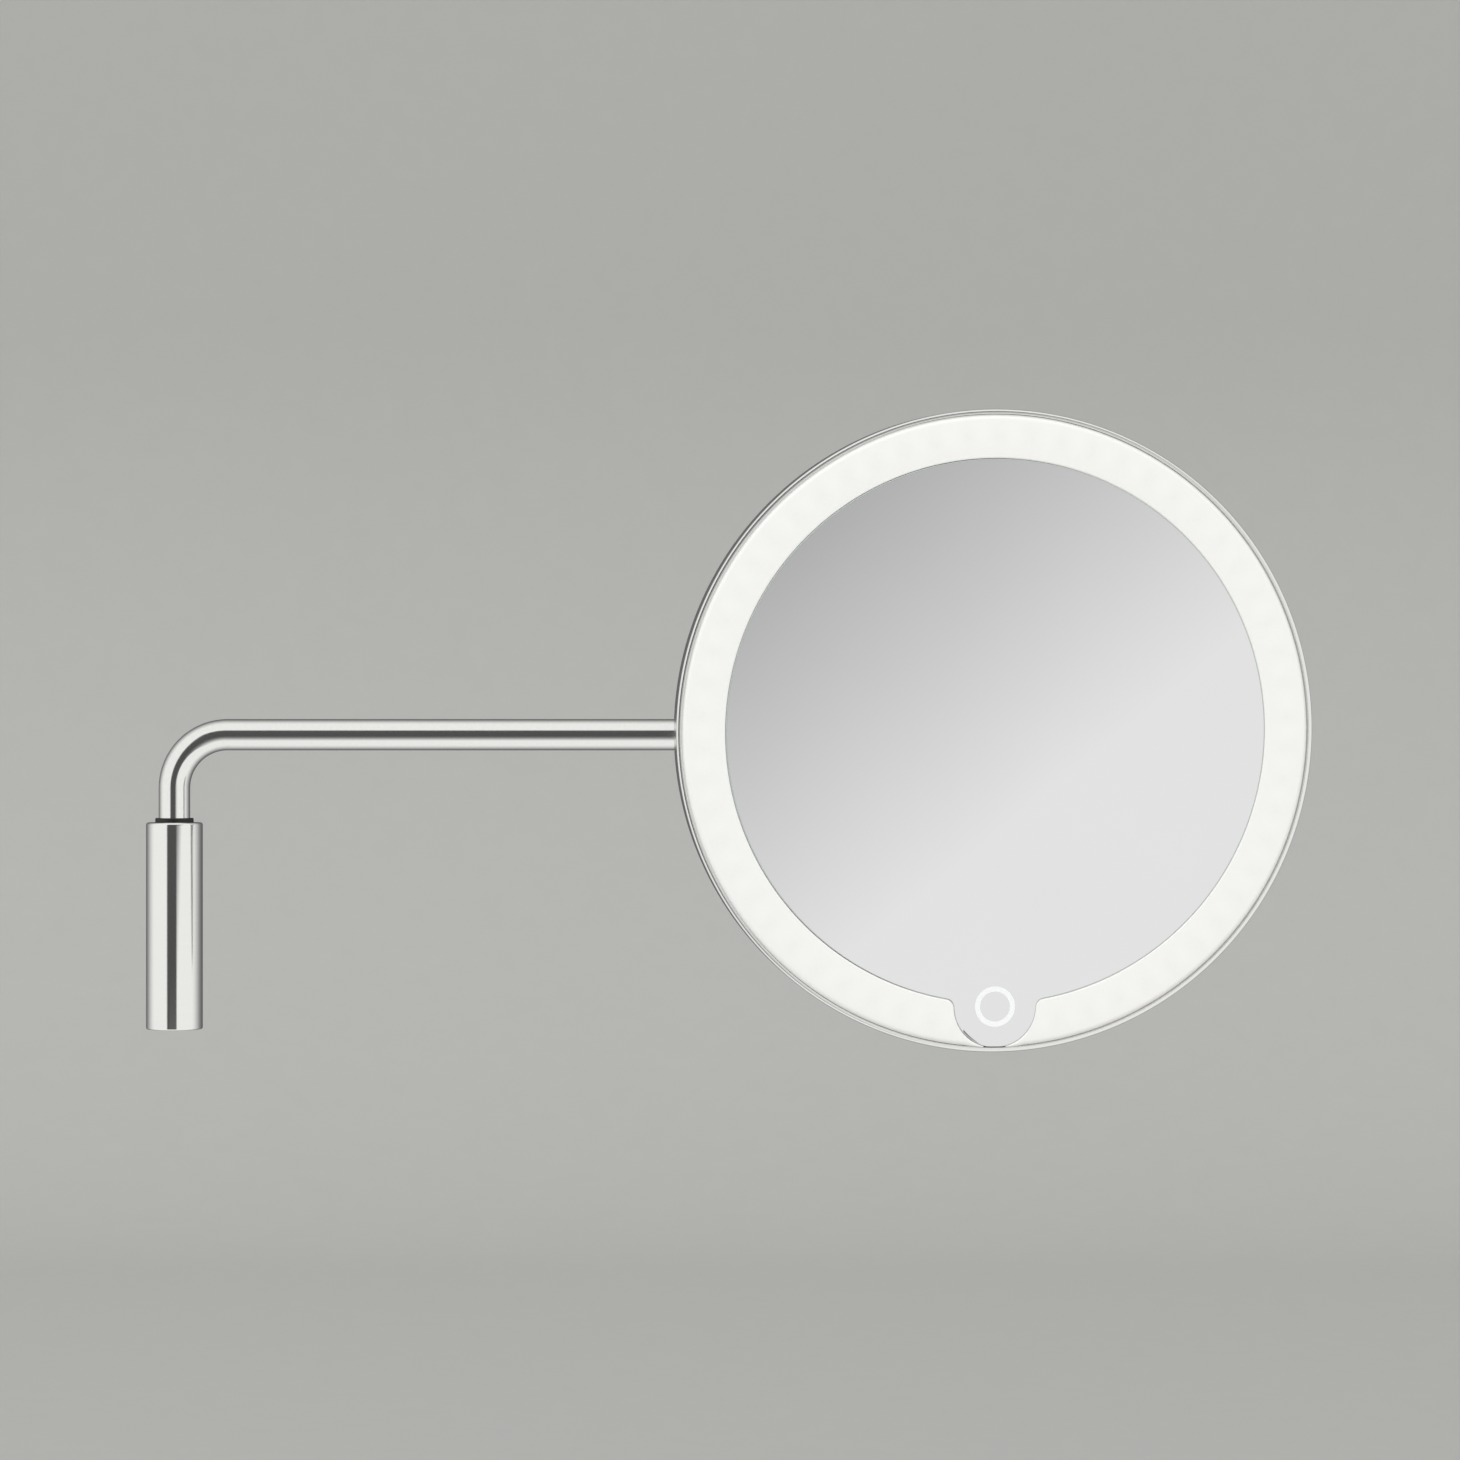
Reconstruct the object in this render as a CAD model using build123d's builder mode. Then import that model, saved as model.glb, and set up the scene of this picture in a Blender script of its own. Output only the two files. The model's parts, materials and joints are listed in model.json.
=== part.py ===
"""Wall mirror for shaving, with a ring light, on an arm that swings out from the wall.

A barrel stands off the wall on a spacer, which hooks over a wall plate.  A bent tube turns in the
barrel and carries a ball stud at its far end.  The round head clips over the ball: a pressed pan holds
a chassis, a ring of lights under a frosted diffuser, and the mirror glass with its touch key.

Millimetres.  +Z is up and the wall is the plane Y = 0, with the room on the -Y side.
The origin is the middle of the wall plate, on the wall.
"""

import os
from math import cos, radians, sin, sqrt

from build123d import *

# ---------------------------------------------------------------- driving sizes
# Wall mount
WALL_GAP = 25.0  # wall to the barrel's axis
BARREL_D = 18.0
BARREL_H = 66.0
BARREL_TOP = BARREL_H / 2
BARREL_FOOT = -BARREL_H / 2
MIDDLE_BORE_D = 11.4
BUSH_D = 13.0
FLANGE_D = 15.0
BUSH_LENGTH = 12.0
COLLAR_H = 1.4  # the upper bush stands this far out of the barrel
COLLAR_D = 12.2
RUNNING_GAP = 0.03  # radial clearance of a turning fit

SPACER_W, SPACER_H = 11.6, 48.0
PLATE_W, PLATE_H, PLATE_T = 8.6, 34.0, 5.0
PLATE_TAPER = 2.0  # how much each end of the plate draws in towards the wall
POCKET_PLAY = 0.2
POCKET_DEPTH = 8.0
WALL_HOLE_R = 2.0
WALL_SCREW_HEAD_R = 3.6
WALL_HOLE_SPACING = 18.0
GRUB_R = 2.0

# Arm
TUBE_D, TUBE_BORE_D = 10.0, 7.4
BEND_R = 17.0
ARM_Z = 61.0  # height of the level stretch above the wall plate's middle
ARM_REACH = 258.0  # barrel's axis to the ball
ARM_FOOT_Z = -22.2
ARM_OVERHANG = 9.0  # tube past the ball stud
BALL_R = 8.0
BALL_STANDOFF = 16.0  # arm's axis to the ball's centre, out from the wall
BALL_RISE = 2.0  # and upwards
NECK_R = 3.0

# Ball joint, from the ball outwards
BALL_FIT = 0.05
LINER_T = 0.8
CUP_T = 0.7
SOCKET_BORE_R = BALL_R + LINER_T + CUP_T + 3 * BALL_FIT
SOCKET_R = 11.3
RING_R = 14.0
LIP_ANGLE = 62.0  # from the stud's axis to the clamp ring's lip
CUP_EDGE_ANGLE = 64.0
CUP_FRONT_ANGLE = 145.0

# How the head stands: turned to its left-hand side and nodded down a little
HEAD_TURN = 6.0
HEAD_NOD = 2.5

# Head, with depths counted forwards from the ball's centre
HEAD_R = 100.0
RIM_W = 1.5
SHEET_T = 1.0
BACK = 5.0
FRONT = 23.0
PAN_ROUND = 10.0
HEM_DEPTH = 2.2

MIRROR_R = 84.6
GLASS_T = 3.0
TAB_R = 12.8
TAB_DROP = 85.7  # mirror's centre to the touch key
TAB_ROOT_R = 3.0
HORN_GAP = 17.0  # between the diffuser's two blunt ends, below the tab
KEY_OUTER_R, KEY_INNER_R = 6.3, 4.7
ETCH_T = 0.2

DIFFUSER_IN, DIFFUSER_OUT, DIFFUSER_T = 84.9, 98.3, 2.5
TAPE_T = 1.0
TRAY_T = 2.0
TRAY_HOLE_R = 22.0
TROUGH_FLOOR = 15.0
CHASSIS_UNDERSIDE = 13.3
KEY_BOARD_T, KEY_GUIDE_T = 0.8, 0.7
LED_COUNT = 56
LED_RING_R = 92.0
FIXING_R = 66.0
SOCKET_FIXING_R = 17.4

stud_root = Vector(ARM_REACH, -WALL_GAP, ARM_Z)
ball = stud_root + Vector(0, -BALL_STANDOFF, BALL_RISE)
stud_way = (ball - stud_root).normalized()
stud_length = (ball - stud_root).length
turn, nod = radians(HEAD_TURN), radians(HEAD_NOD)
head_right = Vector(cos(turn), sin(turn), 0)
facing = Vector(sin(turn) * cos(nod), -cos(turn) * cos(nod), -sin(nod))
head_up = facing.cross(head_right)

# Local X is the head's right as its user sees it, local Y its top, and the offset is the depth forwards.
head_plane = Plane(origin=ball, x_dir=head_right, z_dir=facing)
# Local X is the radius and local Y the depth, for shapes turned about the mirror's axis.
head_section = Plane(origin=ball, x_dir=head_right, z_dir=-head_up)
head_axis = Axis(ball, facing)

barrel_axis = Axis((0, -WALL_GAP, 0), (0, 0, 1))
barrel_section = Plane(origin=(0, -WALL_GAP, 0), x_dir=(1, 0, 0), z_dir=(0, -1, 0))
stud_section = Plane(origin=ball, x_dir=(1, 0, 0), z_dir=Vector(1, 0, 0).cross(stud_way))
stud_axis = Axis(ball, stud_way)

GLASS_FRONT = FRONT - 0.1
GLASS_BACK = GLASS_FRONT - GLASS_T
TRAY_FRONT = GLASS_BACK - TAPE_T
TRAY_BACK = TRAY_FRONT - TRAY_T
KEY_SEAT = GLASS_BACK - KEY_BOARD_T - KEY_GUIDE_T - 0.1


def mirror_outline(gap):
    """The mirror's disc with its round tab for the touch key, grown by a gap, as a face."""
    disc_r, tab_r, root_r = MIRROR_R + gap, TAB_R + gap, TAB_ROOT_R - gap
    tab = Vector(0, -TAB_DROP)
    root_y = -((disc_r + root_r) ** 2 + TAB_DROP**2 - (tab_r + root_r) ** 2) / (2 * TAB_DROP)
    root = Vector(sqrt((disc_r + root_r) ** 2 - root_y**2), root_y)
    on_disc = root * (disc_r / (disc_r + root_r))
    on_tab = tab + (root - tab) * (tab_r / (tab_r + root_r))
    between = root + ((on_disc + on_tab) / 2 - root).normalized() * root_r

    def left(point):
        return Vector(-point.X, point.Y)

    with BuildLine() as outline:
        ThreePointArc(on_disc, (0, disc_r), left(on_disc))
        ThreePointArc(left(on_disc), left(between), left(on_tab))
        ThreePointArc(left(on_tab), (0, -TAB_DROP - tab_r), on_tab)
        ThreePointArc(on_tab, between, on_disc)
    make_face(outline.edges())


def button_screw(plane, shank_r, shank_length, head_r, head_h, key_across):
    """A button-head screw with its head's underside on the plane, and the shank along its normal."""
    section = Plane(origin=plane.origin, x_dir=plane.x_dir, z_dir=plane.y_dir)
    crown_r = head_r * 0.55
    tip = 0.4
    with BuildSketch(section) as profile:
        with BuildLine():
            Polyline(
                (0, head_h),
                (0, -shank_length),
                (shank_r - tip, -shank_length),
                (shank_r, tip - shank_length),
                (shank_r, 0),
                (head_r, 0),
            )
            ThreePointArc((head_r, 0), (head_r * 0.88, head_h * 0.66), (crown_r, head_h))
            Line((crown_r, head_h), (0, head_h))
        make_face()
    revolve(profile.sketch, axis=Axis(plane.origin, -plane.z_dir))
    with BuildSketch(plane.offset(-head_h)) as key:
        RegularPolygon(key_across / 2, 6, major_radius=False)
    extrude(key.sketch, amount=head_h * 0.6, mode=Mode.SUBTRACT)


def head_points(radius, count, start):
    """Points round the mirror's axis, as (across, up) pairs in the head's plane."""
    angles = [radians(start + 360 * i / count) for i in range(count)]
    return [(radius * cos(a), radius * sin(a)) for a in angles]


# ---------------------------------------------------------------- wall mount
half_plate, half_root = PLATE_H / 2, PLATE_H / 2 - PLATE_TAPER

with BuildPart() as wall_plate:
    with BuildSketch(Plane.YZ.offset(-PLATE_W / 2)):
        with BuildLine():
            Polyline(
                (0, -half_root),
                (-PLATE_T, -half_plate),
                (-PLATE_T, half_plate),
                (0, half_root),
                close=True,
            )
        make_face()
    extrude(amount=PLATE_W)
    with Locations(Plane(origin=(0, -PLATE_T, 0), x_dir=(1, 0, 0), z_dir=(0, -1, 0))):
        with GridLocations(0, WALL_HOLE_SPACING, 1, 2):
            CounterSinkHole(WALL_HOLE_R, WALL_SCREW_HEAD_R)

with BuildPart() as wall_spacer:
    with BuildSketch(Plane.XZ):
        RectangleRounded(SPACER_W, SPACER_H, 2.0)
    extrude(amount=WALL_GAP)
    with BuildSketch(Plane.XY.offset(-SPACER_H / 2)):
        with Locations((0, -WALL_GAP)):
            Circle(BARREL_D / 2)
    extrude(amount=SPACER_H, mode=Mode.SUBTRACT)
    with BuildSketch(Plane.YZ.offset(-PLATE_W / 2 - POCKET_PLAY)):
        with BuildLine():
            Polyline(
                (0, -half_plate - POCKET_PLAY),
                (-POCKET_DEPTH, -half_plate - POCKET_PLAY),
                (-POCKET_DEPTH, half_plate + POCKET_PLAY),
                (-PLATE_T, half_plate + POCKET_PLAY),
                (0, half_root + POCKET_PLAY),
                close=True,
            )
        make_face()
    extrude(amount=PLATE_W + 2 * POCKET_PLAY, mode=Mode.SUBTRACT)
    grub_y = -0.72 * PLATE_T
    with BuildSketch(Plane.XY.offset(-SPACER_H / 2)):
        with Locations((0, grub_y)):
            Circle(GRUB_R)
    extrude(amount=SPACER_H / 2 - half_plate, mode=Mode.SUBTRACT)

with BuildPart() as grub_screw:
    grub_tip = -half_root - PLATE_TAPER * 0.72 - 0.15
    grub_end = -SPACER_H / 2 + 0.6
    grub_section = Plane(origin=(0, grub_y, 0), x_dir=(1, 0, 0), z_dir=(0, -1, 0))
    with BuildSketch(grub_section):
        with BuildLine():
            Polyline(
                (0, grub_end),
                (GRUB_R - 0.3, grub_end),
                (GRUB_R, grub_end + 0.3),
                (GRUB_R, grub_tip - GRUB_R),
                (0, grub_tip),
                close=True,
            )
        make_face()
    revolve(axis=Axis((0, grub_y, 0), (0, 0, 1)))
    with BuildSketch(Plane.XY.offset(grub_end)):
        with Locations((0, grub_y)):
            RegularPolygon(1.0, 6, major_radius=False)
    extrude(amount=2.0, mode=Mode.SUBTRACT)

BUSH_SEAT = BARREL_TOP - BUSH_LENGTH
FLANGE_SEAT = -19.0
LOWER_BUSH_TOP = FLANGE_SEAT + 10.0
CAP_TOP = BARREL_FOOT + 4.0
tube_r, barrel_r, bush_r, flange_r = TUBE_D / 2, BARREL_D / 2, BUSH_D / 2, FLANGE_D / 2

with BuildPart() as barrel:
    with BuildSketch(barrel_section):
        with BuildLine():
            Polyline(
                (bush_r, BARREL_TOP),
                (bush_r, BUSH_SEAT),
                (MIDDLE_BORE_D / 2, BUSH_SEAT),
                (MIDDLE_BORE_D / 2, LOWER_BUSH_TOP),
                (bush_r, LOWER_BUSH_TOP),
                (bush_r, FLANGE_SEAT),
                (flange_r, FLANGE_SEAT),
                (flange_r, BARREL_FOOT),
                (barrel_r, BARREL_FOOT),
                (barrel_r, BARREL_TOP),
                close=True,
            )
        make_face()
    revolve(axis=barrel_axis)
    rims = barrel.edges().filter_by(GeomType.CIRCLE).filter_by(lambda e: abs(e.radius - barrel_r) < 0.01)
    fillet(rims.sort_by(Axis.Z)[-1], 0.7)
    chamfer(rims.sort_by(Axis.Z)[0], 0.5)

with BuildPart() as upper_bush:
    with BuildSketch(barrel_section):
        with BuildLine():
            Polyline(
                (tube_r + RUNNING_GAP, BUSH_SEAT),
                (bush_r, BUSH_SEAT),
                (bush_r, BARREL_TOP - 0.4),
                (COLLAR_D / 2, BARREL_TOP - 0.4),
                (COLLAR_D / 2, BARREL_TOP + COLLAR_H - 0.4),
                (COLLAR_D / 2 - 0.4, BARREL_TOP + COLLAR_H),
                (tube_r + RUNNING_GAP, BARREL_TOP + COLLAR_H),
                close=True,
            )
        make_face()
    revolve(axis=barrel_axis)

with BuildPart() as lower_bush:
    with BuildSketch(barrel_section):
        with BuildLine():
            Polyline(
                (tube_r + RUNNING_GAP, LOWER_BUSH_TOP),
                (bush_r, LOWER_BUSH_TOP),
                (bush_r, FLANGE_SEAT),
                (flange_r, FLANGE_SEAT),
                (flange_r, FLANGE_SEAT - 2.0),
                (tube_r + RUNNING_GAP, FLANGE_SEAT - 2.0),
                close=True,
            )
        make_face()
    revolve(axis=barrel_axis)

with BuildPart() as barrel_end_cap:
    with BuildSketch(Plane(origin=(0, -WALL_GAP, BARREL_FOOT + 0.3))):
        Circle(flange_r)
    extrude(amount=CAP_TOP - BARREL_FOOT - 0.3)
    fillet(barrel_end_cap.edges().filter_by(GeomType.CIRCLE).sort_by(Axis.Z)[0], 0.4)

# ---------------------------------------------------------------- arm
arm_end_x = ARM_REACH + ARM_OVERHANG

with BuildPart() as arm_tube:
    with BuildLine() as arm_route:
        FilletPolyline(
            (0, -WALL_GAP, ARM_FOOT_Z),
            (0, -WALL_GAP, ARM_Z),
            (arm_end_x, -WALL_GAP, ARM_Z),
            radius=BEND_R,
        )
    with BuildSketch(Plane(origin=(0, -WALL_GAP, ARM_FOOT_Z), z_dir=(0, 0, 1))):
        Circle(tube_r)
        Circle(TUBE_BORE_D / 2, mode=Mode.SUBTRACT)
    sweep(path=arm_route.wire())
    with BuildSketch(Plane(origin=stud_root, z_dir=stud_way)):
        Circle(NECK_R)
    extrude(amount=TUBE_D, mode=Mode.SUBTRACT)

with BuildPart() as foot_insert:
    with BuildSketch(Plane(origin=(0, -WALL_GAP, ARM_FOOT_Z))):
        Circle(TUBE_BORE_D / 2)
        Circle(2.5, mode=Mode.SUBTRACT)
    extrude(amount=14.0)

WASHER_T = 1.2

with BuildPart() as thrust_washer:
    with BuildSketch(Plane(origin=(0, -WALL_GAP, ARM_FOOT_Z - WASHER_T))):
        Circle(7.2)
        Circle(2.65, mode=Mode.SUBTRACT)
    extrude(amount=WASHER_T)

with BuildPart() as retaining_screw:
    screw_seat = Plane(origin=(0, -WALL_GAP, ARM_FOOT_Z - WASHER_T), x_dir=(1, 0, 0), z_dir=(0, 0, 1))
    button_screw(screw_seat, 2.5, 11.0, 4.75, 2.75, 3.0)

with BuildPart() as disc_spring:
    spring_low, spring_high = ARM_FOOT_Z + 0.02, FLANGE_SEAT - 2.02
    spring_t = 0.35
    with BuildSketch(barrel_section):
        with BuildLine():
            Polyline(
                (5.3, spring_low),
                (5.3, spring_low + spring_t),
                (7.2, spring_high),
                (7.2, spring_high - spring_t),
                close=True,
            )
        make_face()
    revolve(axis=barrel_axis)

with BuildPart() as tip_plug:
    with BuildSketch(Plane(origin=(arm_end_x, -WALL_GAP, ARM_Z), z_dir=(-1, 0, 0))):
        Circle(TUBE_BORE_D / 2)
    extrude(amount=ARM_OVERHANG + 11.0)
    with BuildSketch(Plane(origin=(arm_end_x, -WALL_GAP, ARM_Z), z_dir=(1, 0, 0))):
        Circle(tube_r)
    extrude(amount=2.5)
    fillet(tip_plug.edges().filter_by(GeomType.CIRCLE).sort_by(Axis.X)[-1], 2.0)
    with BuildSketch(Plane(origin=stud_root - stud_way * 2.5, z_dir=stud_way)):
        Circle(NECK_R)
    extrude(amount=TUBE_D, mode=Mode.SUBTRACT)

with BuildPart() as ball_stud:
    collar_depth = stud_length - tube_r - 1.2
    neck_start = sqrt(BALL_R**2 - NECK_R**2)
    with BuildSketch(stud_section):
        with BuildLine():
            ThreePointArc((0, BALL_R), (BALL_R, 0), (NECK_R, -neck_start))
            Polyline(
                (NECK_R, -neck_start),
                (NECK_R, -collar_depth),
                (4.5, -collar_depth),
                (4.5, -stud_length + 3.0),
                (0, -stud_length + 3.0),
                (0, BALL_R),
            )
        make_face()
    revolve(axis=stud_axis)
    with BuildSketch(Plane(origin=(ARM_REACH - 8, -WALL_GAP, ARM_Z), z_dir=(1, 0, 0))):
        Circle(tube_r)
    extrude(amount=16, mode=Mode.SUBTRACT)
    with BuildSketch(Plane(origin=stud_root - stud_way * 2.0, z_dir=stud_way)):
        Circle(NECK_R)
    extrude(amount=stud_length)

# ---------------------------------------------------------------- ball joint


def add_zone(inner_r, outer_r, first_angle, last_angle):
    """A zone of a hollow ball about the mirror's axis, with angles counted from the back."""
    half = (first_angle + last_angle) / 2

    def at(radius, angle):
        return radius * sin(radians(angle)), -radius * cos(radians(angle))

    with BuildSketch(head_section) as profile:
        with BuildLine():
            inside = ThreePointArc(at(inner_r, first_angle), at(inner_r, half), at(inner_r, last_angle))
            outside = ThreePointArc(at(outer_r, last_angle), at(outer_r, half), at(outer_r, first_angle))
            Line(inside @ 1, outside @ 0)
            Line(outside @ 1, inside @ 0)
        make_face()
    revolve(profile.sketch, axis=head_axis)


LINER_R = BALL_R + BALL_FIT
CUP_R = LINER_R + LINER_T + BALL_FIT
RING_SEAT = -1.0
FLANGE_FACE = BACK + SHEET_T
lip_r, lip_depth = SOCKET_BORE_R * sin(radians(LIP_ANGLE)), -SOCKET_BORE_R * cos(radians(LIP_ANGLE))
seat_r = sqrt(SOCKET_BORE_R**2 - RING_SEAT**2)

with BuildPart() as ball_liner:
    add_zone(LINER_R, LINER_R + LINER_T, CUP_EDGE_ANGLE, CUP_FRONT_ANGLE)

with BuildPart() as pressure_cup:
    add_zone(CUP_R, CUP_R + CUP_T, CUP_EDGE_ANGLE, CUP_FRONT_ANGLE)

with BuildPart() as ball_socket:
    with BuildSketch(head_section):
        with BuildLine():
            ThreePointArc((0, SOCKET_BORE_R), (SOCKET_BORE_R * 0.8, SOCKET_BORE_R * 0.6), (seat_r, RING_SEAT))
            Polyline(
                (seat_r, RING_SEAT),
                (SOCKET_R, RING_SEAT),
                (SOCKET_R, FLANGE_FACE),
                (21.0, FLANGE_FACE),
                (21.0, FLANGE_FACE + 2.5),
                (SOCKET_R, FLANGE_FACE + 2.5),
                (SOCKET_R - 2.5, SOCKET_BORE_R + 1.2),
                (0, SOCKET_BORE_R + 1.2),
                (0, SOCKET_BORE_R),
            )
        make_face()
    revolve(axis=head_axis)
    with BuildSketch(head_plane.offset(FLANGE_FACE)):
        with Locations(*head_points(SOCKET_FIXING_R, 3, 90)):
            Circle(1.5)
    extrude(amount=2.5, mode=Mode.SUBTRACT)

with BuildPart() as clamp_ring:
    with BuildSketch(head_section):
        with BuildLine():
            ThreePointArc(
                (seat_r, RING_SEAT),
                (SOCKET_BORE_R * sin(radians(75)), -SOCKET_BORE_R * cos(radians(75))),
                (lip_r, lip_depth),
            )
            Polyline(
                (lip_r, lip_depth),
                (lip_r + 0.3, lip_depth - 0.6),
                (RING_R - 2.0, lip_depth - 0.6),
                (RING_R, lip_depth + 1.4),
                (RING_R, BACK - 0.8),
                (RING_R - 0.4, BACK - 0.4),
                (SOCKET_R, BACK - 0.4),
                (SOCKET_R, RING_SEAT),
                (seat_r, RING_SEAT),
            )
        make_face()
    revolve(axis=head_axis)

with BuildPart() as socket_screws:
    for across, up in head_points(SOCKET_FIXING_R, 3, 90):
        seat = Plane(origin=head_plane.from_local_coords((across, up, BACK)), x_dir=head_right, z_dir=facing)
        button_screw(seat, 1.5, 3.4, 2.85, 1.65, 2.0)

# ---------------------------------------------------------------- head, from the back forwards
PORT_DROP = 58.0
PORT_W, PORT_H = 9.4, 3.7
RECESS_W, RECESS_H, RECESS_T = 18.0, 8.6, 0.5
HINGE_X = -RECESS_W / 2 + 0.9
COVER_T = 1.0

with BuildPart() as housing:
    corner = PAN_ROUND * (1 - sqrt(0.5))
    inner_round = PAN_ROUND - SHEET_T
    inner_corner = SHEET_T + inner_round * (1 - sqrt(0.5))
    with BuildSketch(head_section):
        with BuildLine():
            Line((SOCKET_R, BACK), (HEAD_R - PAN_ROUND, BACK))
            ThreePointArc(
                (HEAD_R - PAN_ROUND, BACK),
                (HEAD_R - corner, BACK + corner),
                (HEAD_R, BACK + PAN_ROUND),
            )
            Polyline(
                (HEAD_R, BACK + PAN_ROUND),
                (HEAD_R, FRONT),
                (HEAD_R - RIM_W, FRONT),
                (HEAD_R - RIM_W, FRONT - HEM_DEPTH),
                (HEAD_R - SHEET_T, FRONT - HEM_DEPTH),
                (HEAD_R - SHEET_T, BACK + PAN_ROUND),
            )
            ThreePointArc(
                (HEAD_R - SHEET_T, BACK + PAN_ROUND),
                (HEAD_R - inner_corner, BACK + inner_corner),
                (HEAD_R - PAN_ROUND, BACK + SHEET_T),
            )
            Polyline(
                (HEAD_R - PAN_ROUND, BACK + SHEET_T),
                (SOCKET_R, BACK + SHEET_T),
                (SOCKET_R, BACK),
            )
        make_face()
        fillet(vertices().group_by(Axis.Y)[-1].sort_by(Axis.X)[-1], 1.0)
    revolve(axis=head_axis)
    with BuildSketch(head_plane.offset(BACK)):
        with Locations(*head_points(FIXING_R, 4, 45), *head_points(SOCKET_FIXING_R, 3, 90)):
            Circle(1.7)
        with Locations((0, -PORT_DROP)):
            SlotOverall(PORT_W, PORT_H)
    extrude(amount=SHEET_T, mode=Mode.SUBTRACT)
    with BuildSketch(head_plane.offset(BACK)):
        with Locations((0, -PORT_DROP)):
            RectangleRounded(RECESS_W, RECESS_H, 1.5)
    extrude(amount=RECESS_T, mode=Mode.SUBTRACT)

with BuildPart() as housing_screws:
    for across, up in head_points(FIXING_R, 4, 45):
        seat = Plane(origin=head_plane.from_local_coords((across, up, BACK)), x_dir=head_right, z_dir=facing)
        button_screw(seat, 1.5, 6.5, 2.85, 1.65, 2.0)

with BuildPart() as port_cover:
    bead_r = 0.5
    cover_bottom = BACK + RECESS_T - 0.05
    with BuildSketch(head_plane.offset(cover_bottom - COVER_T)):
        with Locations((HINGE_X + (RECESS_W - 1.2) / 2, -PORT_DROP)):
            RectangleRounded(RECESS_W - 1.2, RECESS_H - 0.6, 1.2)
        with Locations((HINGE_X, -PORT_DROP)):
            Rectangle(2.4, RECESS_H, mode=Mode.SUBTRACT)
    extrude(amount=COVER_T)
    with BuildSketch(head_plane.offset(cover_bottom - COVER_T)):
        with Locations((HINGE_X + 0.8, -PORT_DROP)):
            Rectangle(1.6, RECESS_H - 2.6)
    extrude(amount=COVER_T)
    bead_plane = Plane(
        origin=head_plane.from_local_coords(
            (HINGE_X, -PORT_DROP - RECESS_H / 2 + 1.3, cover_bottom - COVER_T / 2)
        ),
        x_dir=head_right,
        z_dir=head_up,
    )
    with BuildSketch(bead_plane):
        Circle(bead_r)
    extrude(amount=RECESS_H - 2.6)
    with BuildSketch(head_plane.offset(cover_bottom)):
        with Locations((0, -PORT_DROP)):
            SlotOverall(7.6, 2.3)
    extrude(amount=2.0)

CELL_W, CELL_H, CELL_T = 56.0, 38.0, 7.5
CELL_X = -52.0
CELL_TAPE_T = 0.3
BOARD_W, BOARD_H, BOARD_T = 56.0, 30.0, 1.2
BOARD_Y = -52.0
BOARD_DEPTH = 10.6
BOARD_FIXING = (24.0, 40.0)  # across, and down, from the mirror's centre

with BuildPart() as cell_tape:
    with BuildSketch(head_plane.offset(BACK + SHEET_T)):
        with Locations((CELL_X, 0)):
            RectangleRounded(CELL_W - 6, CELL_H - 6, 1.0)
    extrude(amount=CELL_TAPE_T)

with BuildPart() as battery_cell:
    with BuildSketch(head_plane.offset(BACK + SHEET_T + CELL_TAPE_T)):
        with Locations((CELL_X, 0)):
            RectangleRounded(CELL_W, CELL_H, 2.0)
    extrude(amount=CELL_T)
    fillet(battery_cell.edges().group_by(SortBy.LENGTH)[-1], 0.8)

with BuildPart() as control_board:
    with BuildSketch(head_plane.offset(BOARD_DEPTH)):
        with Locations((0, BOARD_Y)):
            RectangleRounded(BOARD_W, BOARD_H, 1.5)
        with Locations((BOARD_FIXING[0], -BOARD_FIXING[1]), (-BOARD_FIXING[0], -BOARD_FIXING[1])):
            Circle(1.1, mode=Mode.SUBTRACT)
    extrude(amount=BOARD_T)

with BuildPart() as board_chips:
    with BuildSketch(head_plane.offset(BOARD_DEPTH)):
        with Locations((-15, -50), (15, -50)):
            Rectangle(7.0, 7.0)
        with Locations((-15, -61), (18, -61)):
            Rectangle(5.0, 4.0)
        with Locations((-4, -42), (2, -42), (8, -42)):
            Rectangle(3.2, 1.6)
    extrude(amount=-1.4)

with BuildPart() as charge_port:
    shell_w, shell_h, shell_t = 8.94, 3.26, 0.3
    port_length = BOARD_DEPTH - BACK - RECESS_T - 0.1
    with BuildSketch(head_plane.offset(BOARD_DEPTH)):
        with Locations((0, -PORT_DROP)):
            SlotOverall(shell_w, shell_h)
    extrude(amount=-port_length)
    with BuildSketch(head_plane.offset(BOARD_DEPTH - port_length)):
        with Locations((0, -PORT_DROP)):
            SlotOverall(shell_w - 2 * shell_t, shell_h - 2 * shell_t)
    extrude(amount=port_length - 1.0, mode=Mode.SUBTRACT)
    with BuildSketch(head_plane.offset(BOARD_DEPTH - 1.0)):
        with Locations((0, -PORT_DROP)):
            Rectangle(6.7, 0.7)
    extrude(amount=-1.6)

with BuildPart() as board_screws:
    for side in (-1, 1):
        across, up = side * BOARD_FIXING[0], -BOARD_FIXING[1]
        spot = head_plane.from_local_coords((across, up, BOARD_DEPTH))
        seat = Plane(origin=spot, x_dir=head_right, z_dir=facing)
        button_screw(seat, 1.0, 3.0, 1.9, 1.2, 1.3)

LEAD_R = 0.7


def add_lead(points, bend, depth):
    """A wire that lies flat at one depth along straight runs with round corners."""
    with BuildLine(head_plane.offset(depth)) as route:
        FilletPolyline(*points, radius=bend)
    path = route.wire()
    with BuildSketch(Plane(origin=path @ 0, z_dir=path % 0)) as section:
        Circle(LEAD_R)
    sweep(section.sketch, path=path)


with BuildPart() as battery_leads:
    lead_depth = BOARD_DEPTH - LEAD_R
    cell_foot = -CELL_H / 2
    for gap in (0.0, 2.0):
        add_lead([(-34 - gap, cell_foot), (-34 - gap, -46 - gap), (-24, -46 - gap)], 4.0, lead_depth)

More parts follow.
